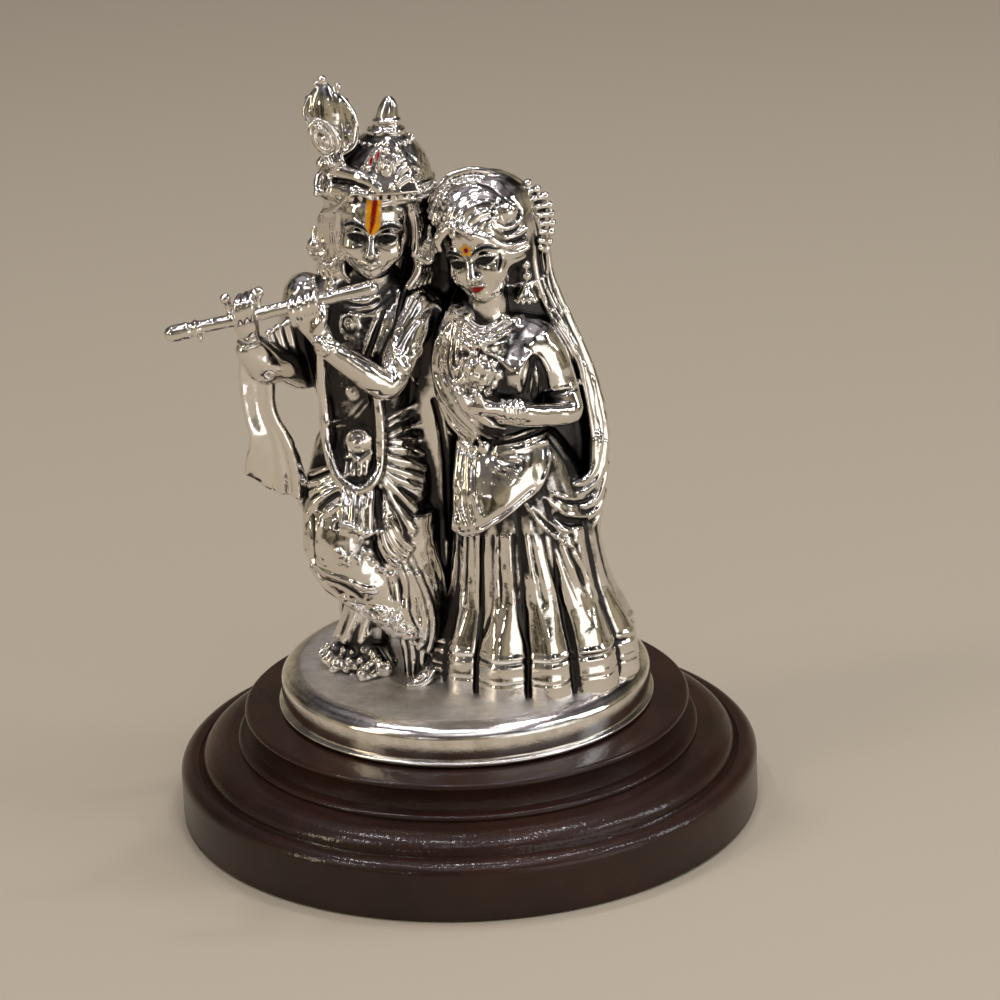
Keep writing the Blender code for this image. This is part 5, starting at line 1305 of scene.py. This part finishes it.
def radha_hair(clay):
    clay.ball((6.4, -5.2, 77.4), (8.0, 7.6, 8.4), soft=0.8)
    clay.ball((4.6, -7.6, 79.6), (6.9, 6.6, 5.2), soft=0.8)
    waves = ([(1.4, -14.6, 79.3, 0.5), (4.4, -14.6, 78.0, 0.7), (7.4, -13.6, 76.4, 0.75), (10.4, -12.0, 75.4, 0.7),
              (12.6, -10.0, 75.6, 0.6)],
             [(4.4, -14.6, 77.0, 0.4), (7.6, -13.6, 75.2, 0.6), (10.4, -12.2, 74.2, 0.65), (12.8, -10.0, 74.6, 0.6)],
             [(8.0, -13.0, 74.2, 0.4), (10.2, -12.2, 73.1, 0.55), (12.2, -10.4, 73.2, 0.5)],
             [(1.6, -14.2, 80.2, 0.5), (-0.6, -13.8, 78.6, 0.6), (-2.2, -12.0, 76.2, 0.6), (-2.6, -10.6, 73.6, 0.5)],
             [(0.8, -14.4, 79.6, 0.4), (-1.0, -13.8, 77.6, 0.5), (-2.0, -12.6, 75.2, 0.5)])
    for wave in waves:
        clay.limb(wave, 0.3)
    # Wavy hair drawn from the parting to the bun, and the arcs of hair under the bun
    strands = [[(448, 214), (453, 200), (464, 190), (480, 187)],
               [(451, 220), (459, 204), (472, 195), (488, 194), (498, 199)],
               [(456, 226), (466, 211), (479, 203), (491, 203), (497, 207)],
               [(463, 231), (473, 219), (484, 212), (494, 213)], [(470, 236), (480, 226), (490, 220), (496, 220)]]
    for strand in strands:
        clay.fold([(u + 1.2 * (-1) ** k, v, 0.5) for k, (u, v) in enumerate(strand)], 0.55, soft=0.4)
    for a, b in zip(strands, strands[1:]):
        clay.crease(between(a, b, 0.13), soft=0.15)
    clay.ball(clay.spot(506, 213) + (0, 1.0, 0), (1.95, 1.9, 1.9), soft=0.12)
    for k in range(15):
        a, b = (radians(24 * j + 10) for j in (k, k + 1))
        clay.crease([(506 + 13.5 * cos(t), 214 + 12.5 * sin(t), 0.3) for t in (a, (a + b) / 2, b)], soft=0.12)
    for route in ([(492, 219), (499, 227), (510, 228.5), (519, 222)],
                  [(488, 227), (500, 237), (515, 236), (526, 228)], [(491, 239), (503, 246), (515, 246), (527, 241)]):
        clay.fold(even(route, 0.45), -0.25, soft=0.12)
        clay.crease(even(route, 0.3, 0, 4), soft=0.12)
    clay.crease([(441, 187, 0.3), (455, 183, 0.35), (470, 183, 0.35), (488, 187, 0.35), (500, 196, 0.35),
                 (512, 204, 0.3)], soft=0.15)
    clay.fold([(440, 250, 0.42), (436, 240, 0.42), (439, 230, 0.42), (446, 224, 0.42)], 0.0, soft=0.15)
    clay.limb([(0.6, -14.6, 80.4, 0.4), (0.7, -15.0, 79.4, 0.55), (0.8, -15.2, 78.4, 0.4)], 0.15)
    clay.ball((0.8, -15.3, 78.5), (0.6, 0.4, 0.75), soft=0.1)
    # Veil rim with its beaded band, and the parting's edge
    rim = [(-2.6, -8.4, 80.8), (-1.6, -7.6, 83.4), (0.8, -7.0, 85.9), (4.6, -6.6, 86.8), (8.5, -6.0, 85.7),
           (11.3, -5.6, 83.9), (13.0, -5.8, 81.6), (13.8, -6.4, 78.4)]
    clay.limb([(*p, 0.6) for p in rim], soft=0.3)
    clay.beads([(x, y - 1.0, z - 0.8) for x, y, z in rim], 0.46, 0.85, soft=0.06)
    clay.limb([(x * 0.93 + 0.4, y - 1.7, z - 1.6, 0.5) for x, y, z in rim], soft=0.2)
    # The garland of blossom at the back of her head
    clay.ball(at(534, 216, -3.2), (1.9, 1.6, 4.4), (0, 12, 0), soft=0.4)
    for start, end in (((516, 190), (528, 183)), ((521, 193), (537, 189)), ((525, 200), (545, 196)),
                       ((528, 208), (549, 205)), ((530, 216), (551, 214)), ((532, 224), (552, 223)),
                       ((534, 232), (551, 232)), ((536, 240), (549, 242)), ((538, 247), (546, 250))):
        clay.limb(placed([(*start, -5.4, 0.4), ((start[0] + end[0]) / 2, (start[1] + end[1]) / 2, -5.2, 0.5),
                          (*end, -3.8, 0.5)]), 0.1)
        clay.ball(at(*end, -4.0), 0.78, soft=0.08)
    # Earring
    for point, size in (((12.5, -9.4, 71.4), 0.8), ((12.6, -9.6, 69.6), 0.85), ((12.5, -9.6, 68.0), 0.6)):
        clay.ball(point, size, soft=0.12)
    clay.stack([(65.6, 12.35, -9.6, 1.75, 1.75), (66.4, 12.4, -9.6, 1.55, 1.55), (67.4, 12.45, -9.6, 0.9, 0.9),
                (68.0, 12.5, -9.6, 0.5, 0.5)], soft=0.15)
    for k in range(10):
        clay.ball((12.35 + 1.7 * cos(k * pi / 5), -9.6 + 1.7 * sin(k * pi / 5), 65.5), 0.36, soft=0.06)


def radha_head_clay():
    clay = Clay((-6, -19.5, 62.6), (20, 9, 89), HEAD_CELL)
    clay.limb([(6.4, -8.6, 60, 3.4), (6.0, -9.4, 68, 3.1)], soft=1.0)
    radha_veil(clay)
    veil_grooves(clay, True)
    radha_hair(clay)
    face = Face(clay, (5.6, -8.6, 74.0), (6, -12, -22), 0.97)
    face.model()

    def paint(spots):
        colours = np.zeros((len(spots), 4))
        x, z, behind = painted_face(face, spots, colours)
        petals = np.full(x.shape, FAR)
        for k in range(5):
            a = 2 * pi * k / 5 + 0.3
            petals = np.minimum(petals, np.hypot(x - 0.75 * cos(a), z - 2.3 - 0.75 * sin(a)) - 0.42)
        brush(colours, petals + behind, YELLOW_PAINT)
        brush(colours, np.hypot(x, z - 2.3) - 0.45 + behind, RED_PAINT)
        lips = line_distance(x, z, [(-1.4, -4.5, 0.12), (0, -4.6, 0.62), (1.4, -4.5, 0.12)])
        brush(colours, lips + behind, RED_PAINT)
        lock = line_distance(x, z, [(4.75, 0.2, 0.16), (4.6, -1.2, 0.3), (4.2, -2.3, 0.2)])
        brush(colours, lock + np.maximum(face.inward(spots)[:, 1] + 2.0, 0) * 4, BLACK_PAINT)
        return colours

    return clay, paint


# The turned pieces
def turned(name, profile, segments):
    """A solid of revolution about Z, in mm from the floor, closed at both ends on the axis."""
    bm = bmesh.new()
    points = [bm.verts.new((r * MM, 0, z * MM)) for r, z in profile]
    edges = [bm.edges.new(pair) for pair in zip(points, points[1:])]
    bmesh.ops.spin(bm, geom=points + edges, axis=(0, 0, 1), cent=(0, 0, 0), angle=2 * pi, steps=segments,
                   use_merge=True)
    bmesh.ops.remove_doubles(bm, verts=bm.verts, dist=1e-7)
    bmesh.ops.recalc_face_normals(bm, faces=bm.faces)
    mesh = bpy.data.meshes.new(name)
    bm.to_mesh(mesh)
    bm.free()
    for polygon in mesh.polygons:
        polygon.use_smooth = True
    mesh.set_sharp_from_angle(angle=radians(50))
    return linked(name, mesh)


def arc(cx, cz, radius, start, end, steps):
    """Points (r, z) of an arc, its angles in degrees from straight out."""
    return [(cx + radius * cos(radians(start + (end - start) * i / steps)),
             cz + radius * sin(radians(start + (end - start) * i / steps))) for i in range(steps + 1)]


def plinth():
    """The foot with its rounded edge, a groove, the torus, the top disc and its rim."""
    torus = [(46.1 - 4.6 * (1 - cos(t * pi / 24)), 9.9 + 3.0 * sin(t * pi / 24)) for t in range(1, 13)]
    profile = [(0, 0), (49.4, 0), (50, 0.4)] + arc(48, 7.9, 2.0, 0, 90, 10)
    profile += [(47.1, 9.9), (46.85, 9.75), (46.7, 9.4), (46.5, 9.3), (46.3, 9.4), (46.1, 9.9)] + torus
    profile += [(39.75, 12.9)] + arc(39.2, 13.3, 0.65, -30, 100, 8)
    profile += [(38.4, 14.0), (37.7, 14.1), (37.6, 14.5), (37.6, 16.9), (37.8, 17.3)]
    profile += arc(37.7, 18.2, 0.7, -80, 90, 10) + [(0, PLINTH_TOP)]
    return turned("fine_plinth", profile, 192)


def silver_base():
    """A thin foot rim, the curved wall and the flat plateau."""
    wall = BASE_RADIUS - 0.5
    profile = [(0, BASE_BOTTOM), (BASE_RADIUS - 0.25, BASE_BOTTOM)]
    profile += arc(BASE_RADIUS - 0.3, BASE_BOTTOM + 0.45, 0.42, -90, 90, 8)
    profile += [(wall - 0.1, BASE_BOTTOM + 1.0), (wall, BASE_BOTTOM + 1.4)]
    profile += [(wall - 4.6 * (1 - cos(t * pi / 32)), 23.6 + 2.6 * sin(t * pi / 32)) for t in range(17)]
    profile += [(26.6, PLATEAU + 0.03), (0, PLATEAU + 0.03)]
    return turned("silver_base", profile, 256)


# Materials
class Nodes:
    """Makes nodes. Each input is given a number, a colour or another node's output."""

    def __init__(self, made):
        made.use_nodes = True
        self.made, self.tree = made, made.node_tree

    def fill(self, node, inputs):
        for key, value in inputs.items():
            if isinstance(value, bpy.types.NodeSocket):
                self.tree.links.new(value, node.inputs[key])
            else:
                node.inputs[key].default_value = value

    def add(self, kind, inputs=None, **settings):
        node = self.tree.nodes.new("ShaderNode" + kind)
        for key, value in settings.items():
            setattr(node, key, value)
        self.fill(node, inputs or {})
        return node.outputs

    def place(self, space="Object"):
        return self.add("TexCoord")[space]

    def height(self, place):
        return self.add("SeparateXYZ", {0: place})["Z"]

    def stored(self, name, output="Fac"):
        return self.add("Attribute", attribute_name=name)[output]

    def noise(self, place, scale, detail, roughness):
        inputs = {"Vector": place, "Scale": scale, "Detail": detail, "Roughness": roughness}
        return self.add("TexNoise", inputs)["Fac"]

    def multiply_add(self, value, factor, more):
        return self.add("Math", {0: value, 1: factor, 2: more}, operation="MULTIPLY_ADD")[0]

    def mapped(self, value, low, high, **ends):
        inputs = {"Value": value, "To Min": low, "To Max": high}
        inputs.update({key.replace("_", " "): end for key, end in ends.items()})
        return self.add("MapRange", inputs)["Result"]

    def mix(self, factor, a, b, blend="MIX"):
        node = self.tree.nodes.new("ShaderNodeMix")
        node.data_type, node.blend_type = "RGBA", blend
        self.fill(node, {"Factor": factor, "A": a, "B": b})
        return node.outputs["Result"]

    def bump(self, height, strength, distance):
        return self.add("Bump", {"Strength": strength, "Distance": distance, "Height": height})["Normal"]

    def ramp(self, value, stops):
        node = self.tree.nodes.new("ShaderNodeValToRGB")
        elements = node.color_ramp.elements
        while len(elements) < len(stops):
            elements.new(0.5)
        for element, (position, shade) in zip(elements, stops):
            element.position = position
            element.color = (*shade, 1) if isinstance(shade, tuple) else (shade, shade, shade, 1)
        self.fill(node, {"Fac": value})
        return node.outputs["Color"]


class Look(Nodes):
    """A material with its shader."""

    def __init__(self, name, colour, roughness, metallic):
        super().__init__(bpy.data.materials.new(name))
        self.shade({"Base Color": (*colour, 1), "Roughness": roughness, "Metallic": metallic})

    def shade(self, inputs):
        self.fill(self.tree.nodes["Principled BSDF"], inputs)


def carved_silver():
    """Bright plating with black patina in the creases and painted shade where places are enclosed or listed, and
    paint where the mesh says so.
    """
    look = Look("antique_silver", (0.86, 0.83, 0.79), 0.1, 1.0)
    place = look.place()
    depth = look.multiply_add(look.stored("valley"), 1.3, look.stored("hollow"))
    # Painted shade: the enclosure and the listed spots darken the plating on top of the patina in the creases
    whole = look.multiply_add(look.stored("shade"), 0.9, depth)
    spread = look.multiply_add(look.noise(place, 1400, 5, 0.65), 0.3, whole)
    patina_and_shade = look.ramp(spread, [(0.12, 0.0), (0.33, 1.0)])
    silver = look.mix(patina_and_shade, (0.84, 0.81, 0.77, 1), (0.045, 0.042, 0.042, 1))
    paint, cover = look.stored("paint", "Color"), look.stored("paint", "Alpha")
    look.shade({"Base Color": look.mix(cover, silver, paint),
                "Metallic": look.add("Math", {0: 1.0, 1: cover}, operation="SUBTRACT")[0],
                "Specular IOR Level": 0.25,
                "Roughness": look.mapped(patina_and_shade, 0.06, 0.3),
                "Normal": look.bump(look.noise(place, 1100, 4, 0.6), 0.25, 0.00012)})
    return look.made


def base_silver():
    """Polished edge and a finely scratched, greyer plateau."""
    look = Look("base_silver", (0.84, 0.81, 0.77), 0.12, 1.0)
    place = look.place()
    level = look.mapped(look.height(place), 0.0, 1.0, From_Min=(PLATEAU - 0.35) * MM, From_Max=(PLATEAU - 0.02) * MM)
    tone = look.ramp(look.noise(place, 260, 6, 0.7), [(0.32, (0.66, 0.62, 0.57)), (0.62, (0.95, 0.93, 0.9))])
    dents = look.bump(look.noise(place, 620, 7, 0.75), look.mapped(level, 0.12, 0.6), 0.00055)
    look.shade({"Base Color": tone, "Roughness": look.mapped(level, 0.06, 0.36), "Normal": dents})
    return look.made


def dark_wood():
    """Dark red-brown stain under a clear glossy varnish with a fine pebbled surface."""
    look = Look("varnished_wood", (0.03, 0.012, 0.008), 0.4, 0.0)
    place = look.place()
    tone = look.ramp(look.noise(place, 60, 4, 0.55), [(0.3, (0.012, 0.006, 0.004)), (0.75, (0.034, 0.013, 0.009))])
    look.shade({"Base Color": tone, "Coat Weight": 0.5, "Coat Roughness": 0.13, "Specular IOR Level": 0.12,
                "Coat Normal": look.bump(look.noise(place, 1300, 2, 0.5), 0.5, 0.00016)})
    return look.made


# Camera, light and floor
def camera():
    data = bpy.data.cameras.new("camera")
    data.lens, data.sensor_width = CAMERA_LENS, CAMERA_SENSOR
    data.clip_start, data.clip_end = 0.01, 50
    seen = linked("camera", data)
    matrix = Matrix([way.tolist() for way in (ACROSS, ABOVE, -FORWARD)]).transposed().to_4x4()
    matrix.translation = (EYE + (0, 0, PLATEAU)) * MM
    seen.matrix_world = matrix
    bpy.context.scene.camera = seen


def softbox(name, place, aim, size, power, colour, glossy=True):
    """A rectangular lamp in metres and watts, aimed at a point and seen in reflections where glossy."""
    data = bpy.data.lights.new(name, "AREA")
    data.shape = "RECTANGLE"
    data.size, data.size_y = size
    data.energy, data.color = power, colour
    lamp = linked(name, data)
    lamp.location = place
    lamp.rotation_euler = (Vector(aim) - Vector(place)).to_track_quat("-Z", "Y").to_euler()
    lamp.visible_glossy = glossy


def light():
    aim = (0, 0, 0.08)
    for k, (x, y, z, power) in enumerate(((0.0, 0.5, 1.6, 2.6), (-0.5, 0.15, 1.4, 2.2), (0.45, 0.2, 1.5, 2.0),
                                          (-0.2, -0.25, 1.5, 1.8), (0.25, -0.35, 1.35, 1.6), (-0.75, -0.4, 1.0, 1.2),
                                          (0.8, -0.3, 0.9, 1.0))):
        softbox(f"ceiling_{k}", (x, y, z), aim, (0.11, 0.07), power, (1.0, 0.96, 0.99))
    softbox("left", (-0.95, -0.45, 0.42), aim, (0.07, 0.4), 1.6, (1.0, 0.86, 0.62))
    softbox("right", (0.95, -0.1, 0.5), aim, (0.1, 0.4), 1.6, (0.95, 0.97, 1.0))
    softbox("front", (0.02, -0.4, 0.35), (0, -0.38, 0.0), (0.5, 0.2), 0.35, (1.0, 0.97, 0.96), glossy=False)
    softbox("fill", (0.3, 0.3, 1.4), (0, 0.5, 0.0), (0.9, 0.9), 4.0, (1.0, 0.97, 0.93), glossy=False)
    softbox("low_card", (0.22, -0.25, 0.07), (-0.03, -0.01, 0.07), (0.26, 0.14), 0.13, (1.0, 0.98, 0.97))
    softbox("high_panel", (0.05, -0.75, 1.15), aim, (0.75, 0.22), 0.95, (1.0, 0.97, 1.0))
    softbox("left_panel", (-0.8, -0.55, 0.8), aim, (0.22, 0.35), 0.4, (1.0, 0.96, 0.9))
    softbox("right_panel", (0.75, -0.6, 0.75), aim, (0.18, 0.3), 0.3, (0.92, 0.96, 1.0))
    softbox("spark_left", (-0.55, -1.1, 0.4), aim, (0.05, 0.05), 0.22, (1.0, 0.98, 0.95))
    softbox("spark_right", (0.4, -1.2, 0.62), aim, (0.06, 0.05), 0.25, (0.95, 0.98, 1.0))
    world = Nodes(bpy.data.worlds.new("room"))
    place = world.place("Generated")
    shades = world.ramp(world.height(place), [
        (0.0, (0.27, 0.225, 0.15)), (0.22, (0.25, 0.21, 0.145)), (0.5, (0.085, 0.075, 0.068)),
        (0.72, (0.16, 0.145, 0.155)), (1.0, (0.4, 0.36, 0.39))])
    patches = world.ramp(world.noise(place, 2.6, 3.0, 0.6), [(0.4, 0.12), (0.49, 0.85), (0.6, 1.5)])
    sky = world.mix(1.0, shades, patches, "MULTIPLY")
    world.fill(world.tree.nodes["Background"], {"Color": sky, "Strength": 1.0})
    bpy.context.scene.world = world.made


def floor():
    mesh = bpy.data.meshes.new("floor")
    half = 3.0
    mesh.from_pydata([(-half, -half, 0), (half, -half, 0), (half, half, 0), (-half, half, 0)], [], [(0, 1, 2, 3)])
    mesh.materials.append(Look("pale_floor", (0.42, 0.37, 0.285), 0.75, 0.0).made)
    ground = linked("floor", mesh)


# Painted shade and patina in recesses, under arms and between parts: pixel, depth, reach in mm and strength
KRISHNA_SHADE_AND_PATINA = [(352, 325, -11, 4.5, 0.17), (348, 372, -11.5, 4.5, 0.15), (350, 405, -12, 4.5, 0.14),
                  (352, 470, -13.5, 3.0, 0.07), (395, 400, -10.5, 4.0, 0.12), (425, 340, -6, 4.0, 0.15),
                  (445, 300, -5, 5.0, 0.17), (440, 520, -8, 5.0, 0.12), (437, 600, -8, 6.0, 0.05),
                  (412, 655, -9, 5.0, 0.17), (375, 672, -7, 4.5, 0.1), (350, 640, -3, 4.0, 0.1),
                  (285, 370, -6, 4.5, 0.12), (305, 330, -5, 4.0, 0.15), (380, 510, -13, 2.5, 0.15),
                  (352, 545, -18, 2.2, 0.1), (425, 280, -6, 5.0, 0.2), (428, 235, -7, 3.5, 0.2),
                  (345, 285, -9, 3.5, 0.17), (270, 430, -10, 3.0, 0.05), (340, 625, 0, 4.0, 0.2),
                  (392, 682, -9, 4.5, 0.3)]
RADHA_SHADE_AND_PATINA = [(478, 376, -17.5, 3.5, 0.06), (505, 434, -14, 4.0, 0.15), (536, 378, -12.5, 2.6, 0.17),
                (570, 445, -9, 5.0, 0.17), (590, 420, -7, 4.0, 0.12), (520, 398, -14, 3.0, 0.15),
                (482, 312, -11, 3.5, 0.07), (447, 318, -9, 4.5, 0.17), (447, 360, -11, 4.0, 0.06),
                (452, 470, -12, 3.0, 0.07), (518, 560, -19, 2.2, 0.1), (450, 620, -14, 4.0, 0.07),
                (520, 290, -6, 4.0, 0.2), (508, 300, -7, 3.0, 0.15), (575, 524, -11.5, 2.0, 0.2),
                (440, 255, -9, 3.5, 0.15)]


def main():
    silver = carved_silver()
    krishna, radha = krishna_clay(), radha_clay()
    krishna_top, his_paint = krishna_head_clay()
    radha_top, her_paint = radha_head_clay()
    room = surroundings((krishna, radha, krishna_top, radha_top))
    pieces = [cast(krishna, "krishna_figure", BODY_TRIANGLES, room, BODY_DENT, KRISHNA_SHADE_AND_PATINA),
              cast(radha, "radha_figure", BODY_TRIANGLES, room, BODY_DENT, RADHA_SHADE_AND_PATINA),
              cast(krishna_top, "krishna_head_and_crown", HEAD_TRIANGLES, room, HEAD_DENT, KRISHNA_SHADE_AND_PATINA, his_paint),
              cast(radha_top, "radha_head", HEAD_TRIANGLES, room, HEAD_DENT, RADHA_SHADE_AND_PATINA, her_paint)]
    for piece in pieces:
        piece.data.materials.append(silver)
    base = silver_base()
    base.data.materials.append(base_silver())
    for piece in pieces + [base]:
        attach(piece, "root")
        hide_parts("silver_figures")
    foot = plinth()
    foot.data.materials.append(dark_wood())
    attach(foot, "root")
    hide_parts("turned_plinth")
    camera()
    light()
    floor()
    bpy.context.scene.view_settings.view_transform = "Standard"


main()
